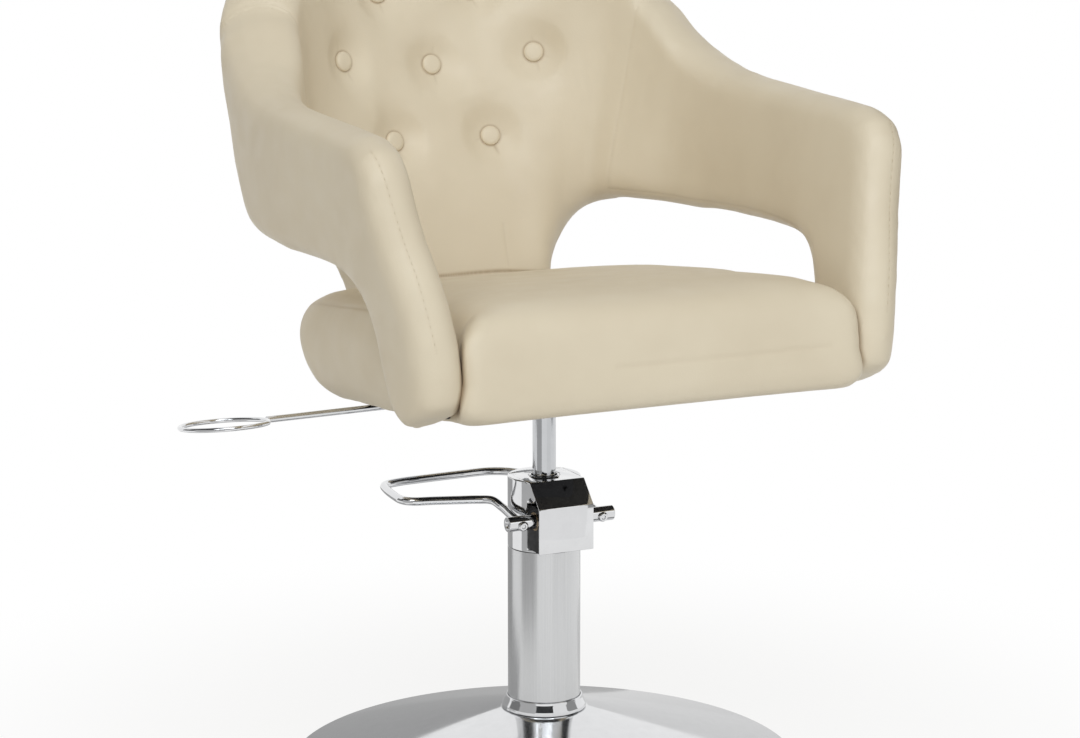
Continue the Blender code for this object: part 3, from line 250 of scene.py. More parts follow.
# %% Quiet finishes
FIBRES, TWIST = (0.003, 3.0, (0.06, 1, 1)), (0.0006, 1.0)
matt_rubber = mixed_finish("matt_rubber", ((0.022, 0.022, 0.023, 1), (0.040, 0.040, 0.042, 1)), (0.7, 0.9),
                           (0.03, 3.0), (0.004,), ((0.0015,), 0.2, 0.0003), Specular_IOR_Level=0.3)
painted_board = mixed_finish("painted_board", ((0.018, 0.017, 0.016, 1), (0.034, 0.031, 0.028, 1)),
                             (0.65, 0.85), FIBRES, FIBRES, (FIBRES, 0.25, 0.0004), Specular_IOR_Level=0.25)
waxed_thread = mixed_finish("waxed_thread", ((0.56, 0.47, 0.33, 1), (0.70, 0.61, 0.47, 1)), (0.6, 0.8),
                            TWIST, TWIST, Specular_IOR_Level=0.3, Sheen_Weight=0.15)
print("finishes:", [m.name for m in (matt_rubber, painted_board, waxed_thread)])

# %% [markdown]
# ## From a bmesh to a piece
#
# A piece is a mesh with a finish that rides on one of the chair's bodies: the base, the pedal, the piston,
# the seat or the dryer holder. One helper does this for all of them. It also names the solids that the
# piece stands for, which then only serve for contact. Smooth shading bends the light over long flat faces,
# so hard pieces get normals that follow their larger faces.

# %% Piece helpers
def linked(name, bm, keep=False):
    """Put the bmesh into the scene as an object."""
    mesh = bpy.data.meshes.new(name)
    bm.to_mesh(mesh)
    if not keep:
        bm.free()
    made = bpy.data.objects.new(name, mesh)
    scene.collection.objects.link(made)
    return made


def applied(piece):
    """Bake the piece's modifiers into its mesh."""
    shaped = bpy.data.meshes.new_from_object(piece.evaluated_get(bpy.context.evaluated_depsgraph_get()))
    piece.modifiers.clear()
    piece.data = shaped


def new_piece(name, bm, finish, body, slot, *stands_for, sharp=40):
    """Make the bmesh a smooth-shaded object that rides on a body."""
    piece = linked(name, bm)
    piece.data.materials.append(finish)
    piece.data.shade_smooth()
    piece.data.set_sharp_from_angle(angle=math.radians(sharp))
    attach(piece, body)
    if stands_for:
        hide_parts(*stands_for)
    if slot != "upholstery":
        even = piece.modifiers.new("flat_faces_stay_flat", "WEIGHTED_NORMAL")
        even.keep_sharp = True
        applied(piece)
    print(f"{name}: {len(piece.data.polygons)} faces on {body}")
    return piece


print("piece helpers ready")

# %% [markdown]
# ## Turned pieces
#
# The base, the collar, the tube and the rod are all turned on a lathe or spun from sheet. In Blender that
# is a profile of a few points, its corners rounded by a vertex bevel, and then one full spin. Rounded
# corners matter on chrome: each catches a thin line of light, and without them the metal looks like paper.

# %% Lathe helper
def turned(points, steps=96, rounding=0.0008, closed=True):
    """Spin a profile of (radius, height) points about Z. A closed profile makes a ring."""
    bm = bmesh.new()
    verts = [bm.verts.new((radius, 0, height)) for radius, height in points]
    for first, second in zip(verts, verts[1:] + verts[:1] if closed else verts[1:]):
        bm.edges.new((first, second))
    if rounding:
        corners = [v for v in verts if v.co.x > 1e-6 and len(v.link_edges) == 2]
        bmesh.ops.bevel(bm, geom=corners, offset=rounding, affect="VERTICES", segments=3, profile=0.5,
                        material=-1)
    bmesh.ops.spin(bm, geom=bm.verts[:] + bm.edges[:], cent=(0, 0, 0), axis=(0, 0, 1), angle=math.tau,
                   steps=steps, use_merge=True)
    bmesh.ops.remove_doubles(bm, verts=bm.verts, dist=1e-6)
    bmesh.ops.recalc_face_normals(bm, faces=bm.faces)
    return bm


def placed(bm, matrix):
    """Move and turn the whole bmesh."""
    bmesh.ops.transform(bm, matrix=matrix, verts=bm.verts)
    return bm


print("lathe ready")

# %% Base: rubber pad, spun dome and collar
PAD, DOME, BORE, TUBE = 0.272, 0.275, 0.0393, 0.039
new_piece("pad_sheet", turned([(0, 0), (PAD, 0), (PAD, 0.003), (0, 0.003)], 160, closed=False),
          matt_rubber, "base", "rubber", "floor_pad")
dome_profile = [(0.273, 0.0033), (DOME, 0.0033), (DOME, 0.0083), (0.0473, 0.0703), (BORE, 0.0703),
                (BORE, 0.0683), (0.0473, 0.0683), (0.273, 0.0063)]
new_piece("dome_skin", turned(dome_profile, 192, 0.0007), dome_chrome, "base", "chrome", "base_dome")
collar_profile = [(BORE, 0.0706), (0.0453, 0.0706), (0.0453, 0.0748), (0.0418, 0.0818), (0.0413, 0.0846),
                  (BORE, 0.0846)]
new_piece("collar_ring", turned(collar_profile, 128, 0.0007), mirror_chrome, "base", "chrome", "column_collar")

# %% Column tube, piston rod and its seal
ROD, SEAL_FOOT, SEAL_HOLE = 0.0125, 0.3183, 0.0171
tube_profile = [(0.0365, 0.0136), (TUBE, 0.0136), (TUBE, 0.2497), (0.0365, 0.2497)]
new_piece("tube_skin", turned(tube_profile, 128, 0.0004), satin_steel, "base", "satin_tube", "column_tube")
rod_profile = [(0, 0.1203), (ROD, 0.1203), (ROD, 0.4097), (0, 0.4097)]
new_piece("rod_skin", turned(rod_profile, 64, 0.0012, closed=False), rod_chrome, "piston", "chrome", "piston_rod")
lip_profile = [(0.0127, SEAL_FOOT), (0.0141, SEAL_FOOT), (0.0141, 0.3268), (0.0132, 0.3276), (0.0127, 0.3276)]
new_piece("seal_lip", turned(lip_profile, 64, 0.0003), matt_rubber, "base", "rubber", "rod_seal")
case_profile = [(0.0142, SEAL_FOOT), (0.0168, SEAL_FOOT), (0.0168, 0.3266), (0.0160, 0.3274), (0.0142, 0.3274)]
new_piece("seal_case", turned(case_profile, 64, 0.0004), mirror_chrome, "base", "chrome")

# %% [markdown]
# ## Cutting and folding sheet metal
#
# The pump's head is a turned cap with a window cut in its front. Over the window sits a cover folded from one
# strip of sheet, let into the cap's top. The strip is a closed outline with its bends rounded, pulled out to
# its width. Holes and windows are cut with a Boolean, and a narrow bevel then breaks every sharp edge, which
# gives the bright hairlines that folded chrome shows.

# %% Cutting helpers
BREAK_ANGLE = math.radians(35)


def pulled_out(bm, half):
    """Pull the one face, at x = -half, out to x = half."""
    pulled = bmesh.ops.extrude_face_region(bm, geom=bm.faces[:])["geom"]
    bmesh.ops.translate(bm, vec=(2 * half, 0, 0), verts=[v for v in pulled if isinstance(v, bmesh.types.BMVert)])
    bmesh.ops.recalc_face_normals(bm, faces=bm.faces)
    return bm


def prism(outline, half):
    """A closed outline of (y, z) points, pulled out to x = -half ... half."""
    bm = bmesh.new()
    bm.faces.new([bm.verts.new((-half, y, z)) for y, z in outline])
    return pulled_out(bm, half)


def folded_strip(inner, thick, half, bend):
    """A strip along the inner line, thickened outwards, its bends rounded."""
    headings = [(b - a).normalized() for a, b in zip(inner, inner[1:])]
    sides = [Vector((h.y, -h.x)) for h in headings]
    outer = []
    for i, point in enumerate(inner):
        before, after = sides[max(i - 1, 0)], sides[min(i, len(sides) - 1)]
        outer.append(point + (before + after) * thick / (1 + before.dot(after)))
    bm = bmesh.new()
    verts = [bm.verts.new((-half, p.x, p.y)) for p in inner + outer[::-1]]
    bm.faces.new(verts)
    bends = [v for i, v in enumerate(verts) if i % len(inner) not in (0, len(inner) - 1)]
    bmesh.ops.bevel(bm, geom=bends, offset=bend, affect="VERTICES", segments=4, profile=0.5, material=-1)
    return pulled_out(bm, half)


def cut_away(piece, cutter_bm, edge):
    """Cut the cutter's shape out of the piece and break the edges."""
    cutter = linked("cutter", cutter_bm)
    cut = piece.modifiers.new("cut", "BOOLEAN")
    cut.object, cut.operation, cut.solver = cutter, "DIFFERENCE", "EXACT"
    applied(piece)
    bpy.data.objects.remove(cutter)
    soft = piece.modifiers.new("soft_edge", "BEVEL")
    soft.width, soft.segments, soft.limit_method, soft.angle_limit = edge, 2, "ANGLE", BREAK_ANGLE
    applied(piece)
    piece.data.shade_smooth()
    piece.data.set_sharp_from_angle(angle=BREAK_ANGLE)
    print("  faces after the cut:", len(piece.data.polygons))


print("cutting helpers ready")

# %% Pump cap with its window
CAP_FOOT, CAP_TOP = 0.250, 0.3268
cap_profile = [(TUBE, CAP_FOOT), (TUBE, CAP_TOP), (SEAL_HOLE, CAP_TOP), (SEAL_HOLE, 0.318), (0.036, 0.318),
               (0.036, CAP_FOOT)]
cap = new_piece("cap_shell", turned(cap_profile, 128, 0.0009), mirror_chrome, "base", "chrome", "column_cap")
window = [(-0.078, 0.2525), (-0.023, 0.2525), (-0.023, 0.3035), (-0.0295, 0.3035), (-0.0295, 0.325),
          (0.0203, 0.325), (0.0203, 0.360), (-0.078, 0.360)]
cut_away(cap, prism(window, 0.0323), 0.0002)

# %% Folded pump cover
SHEET, HALF_WIDTH, BEND = 0.0015, 0.032, 0.0012
inner_fold = [Vector(p) for p in ((0.020, 0.3253), (-0.031, 0.3253), (-0.0525, 0.302), (-0.0525, 0.254))]
cover = new_piece("cover_sheet", folded_strip(inner_fold, SHEET, HALF_WIDTH, BEND), mirror_chrome, "base",
                  "chrome", "pump_cover")
hole = [(0, 0.300), (SEAL_HOLE, 0.300), (SEAL_HOLE, 0.350), (0, 0.350)]
cut_away(cover, turned(hole, 64, 0, closed=False), 0.0004)

# %% [markdown]
# ## Shaft, screws and the pedal's wire
#
# The pedal is a chromed rod bent into a loop. Its two legs enter a cross shaft and are held by a screw from
# the front. A bent rod could be a curve with a bevel, but a ring of points pulled along the route with
# extrude and turned a little at every step gives the same rod, with both ends closed.

# %% Wire helper
def through(points, per_span):
    """Points on a smooth line through the given ones (Catmull-Rom)."""
    ends = [points[0] * 2 - points[1]] + points + [points[-1] * 2 - points[-2]]
    line = []
    for a, b, c, d in zip(ends, ends[1:], ends[2:], ends[3:]):
        for step in range(per_span):
            t = step / per_span
            line.append(0.5 * (2 * b + (c - a) * t + (2 * a - 5 * b + 4 * c - d) * t ** 2
                               + (3 * b - a - 3 * c + d) * t ** 3))
    return line + [points[-1]]


def bent_rod(route, radius, sides=20):
    """Pull a closed ring along the route, turning it with the route's heading."""
    bm = bmesh.new()
    last = len(route) - 1
    heading = [(route[min(i + 1, last)] - route[max(i - 1, 0)]).normalized() for i in range(len(route))]
    ring = bmesh.ops.create_circle(bm, cap_ends=True, radius=radius, segments=sides)["verts"]
    bmesh.ops.rotate(bm, verts=ring, cent=(0, 0, 0), matrix=heading[0].to_track_quat("Z", "Y").to_matrix())
    bmesh.ops.translate(bm, verts=ring, vec=route[0])
    edges = bm.edges[:]
    for i in range(1, len(route)):
        pulled = bmesh.ops.extrude_edge_only(bm, edges=edges)["geom"]
        ring = [g for g in pulled if isinstance(g, bmesh.types.BMVert)]
        edges = [g for g in pulled if isinstance(g, bmesh.types.BMEdge) and all(v in ring for v in g.verts)]
        bmesh.ops.translate(bm, verts=ring, vec=route[i] - route[i - 1])
        bmesh.ops.rotate(bm, verts=ring, cent=route[i],
                         matrix=heading[i - 1].rotation_difference(heading[i]).to_matrix())
    bmesh.ops.contextual_create(bm, geom=edges)
    bmesh.ops.recalc_face_normals(bm, faces=bm.faces)
    return bm


print("wire helpers ready")

# %% Cross shaft and its two screws
SHAFT, LEG_X = Vector((0, -0.038, 0.287)), 0.047
shaft_half = [(0, 0.0595), (0.0032, 0.0595), (0.0050, 0.062), (0.008, 0.062)]
shaft = turned([(r, -z) for r, z in shaft_half] + shaft_half[::-1], 48, 0.0006, closed=False)
lying = Matrix.Translation(SHAFT) @ Matrix.Rotation(math.radians(90), 4, "Y")
new_piece("shaft_bar", placed(shaft, lying), mirror_chrome, "pedal", "chrome", "pedal_shaft")

screw_tilt = Matrix.Rotation(math.radians(100), 4, "X")
head_profile = [(0, 0.0079), (0.0055, 0.0079), (0.0055, 0.0094), (0.0040, 0.0108), (0.0023, 0.0108),
                (0.0020, 0.0092), (0, 0.0092)]
for side, x in (("left", LEG_X), ("right", -LEG_X)):
    low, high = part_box(f"clamp_screw_{side}")
    head = placed(turned(head_profile, 40, 0.0004, closed=False),
                  Matrix.Translation(SHAFT + Vector((x, 0, 0))) @ screw_tilt)
    new_piece(f"screw_head_{side}", head, mirror_chrome, "pedal", "chrome", f"clamp_screw_{side}")
    print("  its solid lies between", [round(v, 4) for v in low], [round(v, 4) for v in high])

# %% Pedal loop
LOOP_X, LOOP_Y, LOOP_Z = 0.137, 0.185, 0.012
rise = math.radians(10)
leg = Vector((0, math.cos(rise), math.sin(rise)))
leg_reach = (0.0027, 0.025, 0.045)
loop_near = [(1.02, 0.45), (0.94, 0.69), (0.6, 0.9), (0.085, 0.995)]
loop_far = [(0.22, 1.0), (0.584, 0.99), (0.774, 0.978), (0.92, 0.94), (0.97, 0.838), (1.0, 0.665), (1.0, 0.557),
            (0.934, 0.497), (0.788, 0.465), (0.6, 0.416), (0.46, 0.378), (0.372, 0.324)]
pedal_points = [Vector((LEG_X, 0, 0)) + leg * reach for reach in leg_reach]
pedal_points += [Vector((LEG_X * x, LOOP_Y * y, LOOP_Z)) for x, y in loop_near]
pedal_points += [Vector((-LOOP_X * x, LOOP_Y * y, LOOP_Z)) for x, y in loop_far]
pedal_points += [Vector((-LEG_X, 0, 0)) + leg * reach for reach in leg_reach[::-1]]
pedal_route = [SHAFT + p for p in through(pedal_points, 6)]
new_piece("pedal_loop", bent_rod(pedal_route, 0.0045, 24), mirror_chrome, "pedal", "chrome", "pedal_bar")

# %% [markdown]
# ## Dryer holder
#
# A thinner rod swings out from under the seat and carries a closed ring for the dryer's nozzle. The ring is
# one small circle spun once round. Both follow the seat's slope, so they are made flat and then turned with
# the same frame as the seat.

# %% Holder rod and ring
seat_slope = Matrix.Translation((0, 0, 0.420)) @ Matrix.Rotation(math.radians(-7.2), 4, "X")
holder_place = seat_slope @ Matrix.Translation((-0.112, 0.108, 0)) @ Matrix.Rotation(math.radians(6), 4, "Z")
DROP, BEND_RADIUS, HOOP, HOOP_WIRE = -0.0125, 0.0055, 0.0465, 0.0025
corner = [Vector((-BEND_RADIUS * (1 - math.cos(a)), 0, DROP + BEND_RADIUS * (1 - math.sin(a))))
          for a in (math.radians(d) for d in range(0, 91, 10))]
holder_route = [Vector((0, 0, -0.0006)), Vector((0, 0, DROP / 3))] + corner
holder_route += [Vector((x, 0, DROP)) for x in (-0.05, -0.11, -0.17)]
new_piece("holder_wire", bent_rod([holder_place @ p for p in holder_route], 0.0035, 24), mirror_chrome, "holder",
          "chrome", "holder_rod")

tilt = math.radians(0.5)
circle = [math.tau * i / 20 for i in range(20)]
ring = turned([(HOOP + HOOP_WIRE * math.sin(a), HOOP_WIRE * math.cos(a)) for a in circle], rounding=0)
ring_centre = Vector((-0.1703 - 0.049 * math.cos(tilt), 0, DROP - 0.049 * math.sin(tilt)))
ring_place = holder_place @ Matrix.Translation(ring_centre) @ Matrix.Rotation(-tilt, 4, "Y")
new_piece("holder_hoop", placed(ring, ring_place), mirror_chrome, "holder", "chrome", "holder_ring")

# %% [markdown]
# ## The plunger's spring
#
# Inside the pump head a small spring lifts the plunger back. It is a rod bent along a helix. When the pedal
# goes down the spring gets shorter.

# %% Spring
low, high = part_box("plunger_spring")
TURNS, COIL, COIL_Y, WIRE, STEPS = 4.0, 0.0046, -0.030, 0.0005, 96
length = high.z - low.z
helix = [Vector((COIL * math.cos(a), COIL_Y + COIL * math.sin(a), low.z + WIRE + (length - 2 * WIRE) * share))
         for share, a in ((i / STEPS, math.tau * TURNS * i / STEPS) for i in range(STEPS + 1))]
spring = new_piece("spring_coil", bent_rod(helix, WIRE, 10), plain_steel, "base", "steel", "plunger_spring")
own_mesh(spring)
print("spring length", round(length, 4))

# %% [markdown]
# ## Padded leather
#
# The shell and the seat are foam under a tight cover. A cover is never as even as a solid: between the
# places where it is held it swells, and at the seams it sinks. So each cushion starts from its solid, gets an
# even net of points, is drawn in by three millimetres and blown up as cloth that is held at the buttons and
# at the feet. The movement is capped softly, so that nothing runs away from the solid it stands for.

# %% Cushion helpers
def solid_copy(*names):
    """One bmesh of the named solids, their loose triangles joined."""
    bm = bmesh.new()
    for name in names:
        bm.from_mesh(frame["nodes"][name].data)
    bmesh.ops.remove_doubles(bm, verts=bm.verts, dist=1e-5)
    return bm


def modified(bm, kind, **settings):
    """Run one modifier over the bmesh."""
    blank = linked("blank", bm)
    step = blank.modifiers.new("step", kind)
    for key, value in settings.items():
        setattr(step, key, value)
    applied(blank)
    made = bmesh.new()
    made.from_mesh(blank.data)
    bpy.data.objects.remove(blank)
    made.normal_update()
    return made


def even_net(bm, voxel):
    """Give the closed shape an even net of quads."""
    return modified(bm, "REMESH", mode="VOXEL", voxel_size=voxel)


def finer(bm):
    """One step of Catmull-Clark subdivision."""
    return modified(bm, "SUBSURF", levels=1, render_levels=1)


def smoothed(bm, rounds):
    """Smooth the net's facets away."""
    for _ in range(rounds):
        bmesh.ops.smooth_vert(bm, verts=bm.verts, factor=0.5, use_axis_x=True, use_axis_y=True, use_axis_z=True)
    bm.normal_update()
    return bm


def blown_up(bm, held, shrink, cap, give=0.25, pressure=4.0, frames=20):
    """Blow the net up as cloth, held where held(point) is true, and follow it part of the way."""
    for vert in bm.verts:
        if not held(vert.co):
            vert.co -= vert.normal * shrink
    cloth = linked("cloth", bm, keep=True)
    start = np.array([v.co for v in cloth.data.vertices])
    group = cloth.vertex_groups.new(name="held")
    group.add([v.index for v in cloth.data.vertices if held(v.co)], 1.0, "REPLACE")
    puff = cloth.modifiers.new("puff", "CLOTH")
    cover = puff.settings
    cover.quality, cover.vertex_group_mass, cover.effector_weights.gravity = 4, "held", 0
    cover.use_pressure, cover.uniform_pressure_force = True, pressure
    puff.collision_settings.use_collision = False
    puff.point_cache.frame_start, puff.point_cache.frame_end = 1, frames
    for step in range(1, frames + 1):
        scene.frame_set(step)
    settled = cloth.evaluated_get(bpy.context.evaluated_depsgraph_get()).data
    moved = give * (np.array([v.co for v in settled.vertices]) - start)
    reach = np.maximum(np.linalg.norm(moved, axis=1, keepdims=True), 1e-9)
    start = start + moved / reach * cap * np.tanh(reach / cap)
    print("  cover swelled by", round(float(reach.mean()) * 1000, 2), "mm on average")
    scene.frame_set(1)
    bpy.data.objects.remove(cloth)
    for vert, place in zip(bm.verts, start):
        vert.co = place
    return smoothed(bm, 4)


print("cushion helpers ready")

# %% [markdown]
# ## Keeping close to the solid
#
# Smoothing takes a little off every rounded edge, and after it the posts would look thin. So the depth of
# each point below the solid's surface is measured, evened out over its neighbours so that no facet comes
# back, and given back along the normal. The other way round, the solids leave two millimetres between the
# posts and the seat, and a cushion that stood further out would grow into its neighbour. Such points are
# drawn back, the more the further they stand. A hard limit would leave an edge on the leather where it
# sets in, and a soft one doesn't.

# %% Depth and limit helpers
def filled_out(bm, solid, share, rounds):
    """Move the cover out by its evened depth below the solid's surface."""
    tree = BVHTree.FromBMesh(solid)
    bm.verts.index_update()
    depth = np.zeros(len(bm.verts))
    for vert in bm.verts:
        spot, _, _, away = tree.find_nearest(vert.co)
        depth[vert.index] = away if (spot - vert.co).dot(vert.normal) > 0 else -away
    ends = np.array([[v.index for v in edge.verts] for edge in bm.edges])
    both = np.concatenate([ends, ends[:, ::-1]])
    count = np.bincount(both[:, 0], minlength=len(depth))
    print("  depth below the solid:", round(float(depth.mean()) * 1000, 2), "mm on average")
    for _ in range(rounds):
        around = np.bincount(both[:, 0], weights=depth[both[:, 1]], minlength=len(depth)) / count
        depth = (depth + around) / 2
    for vert in bm.verts:
        vert.co += vert.normal * share * depth[vert.index]
    bm.normal_update()
    return bm


def ramp(value, start, end):
    """A share that goes evenly from 0 at the start to 1 at the end."""
    return min(max((value - start) / (end - start), 0.0), 1.0)


def kept_close(bm, solid, limit):
    """Draw points back that stand outside the solid, so that none is further out than the limit."""
    tree = BVHTree.FromBMesh(solid)
    furthest = 0.0
    for vert in bm.verts:
        spot, _, _, away = tree.find_nearest(vert.co)
        if away > 1e-6 and (vert.co - spot).dot(vert.normal) > 0:
            vert.co = spot + (vert.co - spot) * (limit * math.tanh(away / limit) / away)
            furthest = max(furthest, away)
    bm.normal_update()
    print("  furthest outside the solid before:", round(furthest * 1000, 2), "mm")
    return bm


print("depth and limit helpers ready")

# %% [markdown]
# ## Buttons
#
# Seven covered buttons pull the back's cover in. Each is a shallow dome with a rolled edge, spun from its
# profile. The back leans and curves, so each button faces its own way: the rows give the place on the
# back's front face and the direction there, and the button's crown lies seven and a half millimetres deeper.

# %% Button places
CROWN_DEPTH = 0.0075
button_rows = {1: ((-56.0, 247.0, 661.0), (0.220, -0.925, 0.313)),
               2: ((56.0, 247.0, 661.0), (-0.220, -0.925, 0.313)),
               3: ((-112.0, 254.2, 751.0), (0.350, -0.906, 0.239)),
               4: ((0.0, 276.8, 741.0), (0.0, -0.948, 0.318)),
               5: ((112.0, 254.2, 751.0), (-0.350, -0.906, 0.239)),
               6: ((-56.0, 297.9, 821.0), (0.038, -0.952, 0.304)),
               7: ((56.0, 297.9, 821.0), (-0.038, -0.952, 0.304))}
buttons = {i: (Vector(place) * 0.001 - Vector(out).normalized() * CROWN_DEPTH, Vector(out).normalized())
           for i, (place, out) in button_rows.items()}
for i, (face, out) in buttons.items():
    low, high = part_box(f"button_{i}")
    print("button", i, "crown", [round(v, 4) for v in face], "solid from", [round(v, 4) for v in low],
          "to", [round(v, 4) for v in high])

# %% Covered buttons
button_profile = [(0, -0.010), (0.0045, -0.010), (0.0105, -0.0052), (0.0112, -0.0036), (0.0104, -0.0016),
                  (0.0078, -0.0004), (0.004, 0), (0, 0)]
for i, (face, out) in buttons.items():
    button = placed(turned(button_profile, 40, 0.0005, closed=False),
                    Matrix.Translation(face) @ out.to_track_quat("Z", "Y").to_matrix().to_4x4())
    new_piece(f"button_cap_{i}", button, cream_leather, "seat", "upholstery", f"button_{i}", sharp=60)

# %% [markdown]
# ## The shell: arms and back
#
# The arms and the back are covered as one flowing shell and only parted by two seams. They are therefore
# blown up together, so the surface runs on from one to the other, and cut apart at the seams afterwards.
# The ends of the arms are first pushed a little into the back, so that the three solids become one net. At
# the rear corners, where arm and back meet, the lower edge is then raised and smoothed.

# %% One net for the whole shell
SEAM_SPOT, SEAM_NORMAL = Vector((0.193, 0.211, 0.582)), Vector((-0.536, 0.832, 0.140)).normalized()


def mirrored(point):
    return Vector((-point.x, point.y, point.z))


halves = {"left": (SEAM_SPOT, SEAM_NORMAL, 1), "right": (mirrored(SEAM_SPOT), mirrored(SEAM_NORMAL), -1)}
shell_solid = solid_copy("backrest", "arm_left", "arm_right")
shell = bmesh.new()
shell.from_mesh(frame["nodes"]["backrest"].data)
for name, (spot, normal, _) in halves.items():
    arm = solid_copy(f"arm_{name}")
    seam_points = [v for v in arm.verts if (v.co - spot).dot(normal) > -0.003]
    middle = sum((v.co for v in seam_points), Vector()) / len(seam_points)
    for vert in seam_points:
        vert.co = middle.lerp(vert.co, 0.96) + normal * 0.005
    pushed_in = linked("pushed_in", arm)
    shell.from_mesh(pushed_in.data)
    bpy.data.objects.remove(pushed_in)
    print(name, "arm, seam points pushed in:", len(seam_points))
bmesh.ops.remove_doubles(shell, verts=shell.verts, dist=1e-5)
shell_form = even_net(shell, 0.006)
shell = smoothed(shell_form.copy(), 10)
print("shell net:", len(shell.verts), "points")

# %% Blow the shell up
HELD_ROUND_BUTTON, SOLE_TOP, POSTS_BACK = 0.017, 0.468, -0.1


def shell_held(point):
    """Held under the buttons and at the soles of the posts."""
    at_button = any((point - face).length < HELD_ROUND_BUTTON for face, _ in buttons.values())
    return at_button or point.z < SOLE_TOP and point.y < POSTS_BACK


shell = finer(blown_up(shell, shell_held, 0.0030, 0.006))
shell = filled_out(filled_out(shell, shell_form, 0.95, 24), shell_form, 0.8, 10)
shell = kept_close(shell, shell_solid, 0.0025)
print("shell:", len(shell.verts), "points")

# %% Ease the shell's rear corners
for vert in shell.verts:
    share = ramp(vert.co.y, 0.02, 0.14) * ramp(vert.co.y, 0.34, 0.24) * ramp(vert.co.z, 0.66, 0.60)
    vert.co.z += 0.013 * share * ramp(abs(vert.co.x), 0.250, 0.285)
eased = {v: 0.5 * ramp(min((v.co - spot).length for spot, _, _ in halves.values()), 0.075, 0.035)
         for v in shell.verts}
eased = {v: share for v, share in eased.items() if share > 0}
for _ in range(30):
    middles = {v: sum((e.other_vert(v).co for e in v.link_edges), Vector()) / len(v.link_edges) for v in eased}
    for vert, share in eased.items():
        vert.co = vert.co.lerp(middles[vert], share)
shell.normal_update()
print("points eased at the corners:", len(eased))

# %% [markdown]
# ## Seams
#
# A seam is where the cover sinks by half a millimetre along a line, and shade is painted into the groove.
# The lines run up the front posts, along the arms' lower edge, down the two joints between the arms and
# the back, and up the back from its lower edge. A dark painted line, sunk a little deeper, stands for the
# shade in the gap between the back and the seat. Each is drawn through a few points near the surface and
# then dropped onto it. The net is made finer beside the line first, because a groove two millimetres wide
# can't show in a net of three.

# %% Seam helpers
def dropped(line, bm):
    """The line's points moved to the nearest place on the surface."""
    tree = BVHTree.FromBMesh(bm)
    return [tree.find_nearest(point)[0] for point in line]


def near(lines):
    """A lookup of the nearest point on any of the lines."""
    points = [p for line in lines for p in line]
    lookup = KDTree(len(points))
    for i, point in enumerate(points):
        lookup.insert(point, i)
    lookup.balance()
    return lookup


def refined(bm, lines, reach):
    """Halve the net's edges beside the lines."""
    lookup = near(lines)
    close = {v for v in bm.verts if lookup.find(v.co)[2] < reach}
    edges = [e for e in bm.edges if e.verts[0] in close and e.verts[1] in close]
    bmesh.ops.subdivide_edges(bm, edges=edges, cuts=1, use_grid_fill=True)
    bm.normal_update()
    return bm


def painted_shade_layer(bm):
    """The painted shade that darkens the leather, one value for each point."""
    return bm.verts.layers.float.get("painted_shade") or bm.verts.layers.float.new("painted_shade")


def pressed(bm, lines, width, depth, tint):
    """Sink the surface along the lines and paint shade into the groove, scaled by the tint."""
    lookup = near(lines)
    painted_shade = painted_shade_layer(bm)
    for vert in bm.verts:
        away = lookup.find(vert.co)[2]
        if away < 3 * width:
            share = math.exp(-(away / width) ** 2)
            vert.co -= vert.normal * depth * share
            # painted shade in the groove, strongest on the line
            vert[painted_shade] = max(vert[painted_shade], tint * share)
    bm.normal_update()
    return bm


def drawn(points, spacing=0.0012):
    """A dense line through points given in millimetres."""
    rough = through([Vector(p) * 0.001 for p in points], 24)
    line, gone = [rough[0]], 0.0
    for first, second in zip(rough, rough[1:]):
        gone += (second - first).length
        if gone >= spacing:
            line.append(second)
            gone = 0.0
    return line


print("seam helpers ready")

# %% Seam lines of the shell
rim_seam = drawn([(250, -281, 530), (261, -266, 595), (272, -247, 645), (284, -228, 703), (287, -212, 716)])
hem_seam = drawn([(226, -120, 589), (231, -60, 594), (235, 0, 595), (236, 60, 592), (231, 105, 590),
                  (218, 140, 590), (196, 168, 591), (172, 196, 592)])
low_seam = drawn([(54, 196, 520), (54, 200, 545), (54, 206, 566)])
rim_lines, hem_lines = ([dropped(line, shell) for line in (seam, [mirrored(p) for p in seam])]
                        for seam in (rim_seam, hem_seam))
low_line = dropped(low_seam, shell)
# painted shade: a dark line on the back just above the seat stands for the shade in the gap behind it
gap_line = dropped(drawn([(-150, 190, 509), (-75, 197, 512), (0, 200, 513), (45, 199, 513), (75, 199, 510),
                          (110, 198, 507), (150, 190, 504)]), shell)
shell_lines = rim_lines + hem_lines + [low_line, gap_line]
print("seam lengths:", [round(sum((b - a).length for a, b in zip(line, line[1:])), 3) for line in shell_lines])

# %% Joint seams round the shell
def ring_at_plane(bm, spot, normal, side):
    """Points where the surface crosses the seam's plane on one side of the chair."""
    points = []
    for edge in bm.edges:
        first, second = (v.co for v in edge.verts)
        if first.x * side < 0.05:
            continue
        a, b = (first - spot).dot(normal), (second - spot).dot(normal)
        if a * b < 0:
            points.append(first.lerp(second, a / (a - b)))
    return points


joint_lines = [ring_at_plane(shell, *half) for half in halves.values()]
print("joint seams cross", [len(line) for line in joint_lines], "edges")

# %% Press the seams in
shell = refined(shell, shell_lines + joint_lines, 0.006)
# the last number of each row is how much shade is painted into its groove
for lines, width, depth, tint in ((rim_lines, 0.0012, 0.0004, 0.10), (hem_lines, 0.0012, 0.0005, 0.17),
                                  ([low_line], 0.0013, 0.0004, 0.08), (joint_lines, 0.0020, 0.0004, 0.04),
                                  ([gap_line], 0.0019, 0.0008, 0.75)):
    shell = pressed(shell, lines, width, depth, tint)
print("shell:", len(shell.verts), "points after the seams")

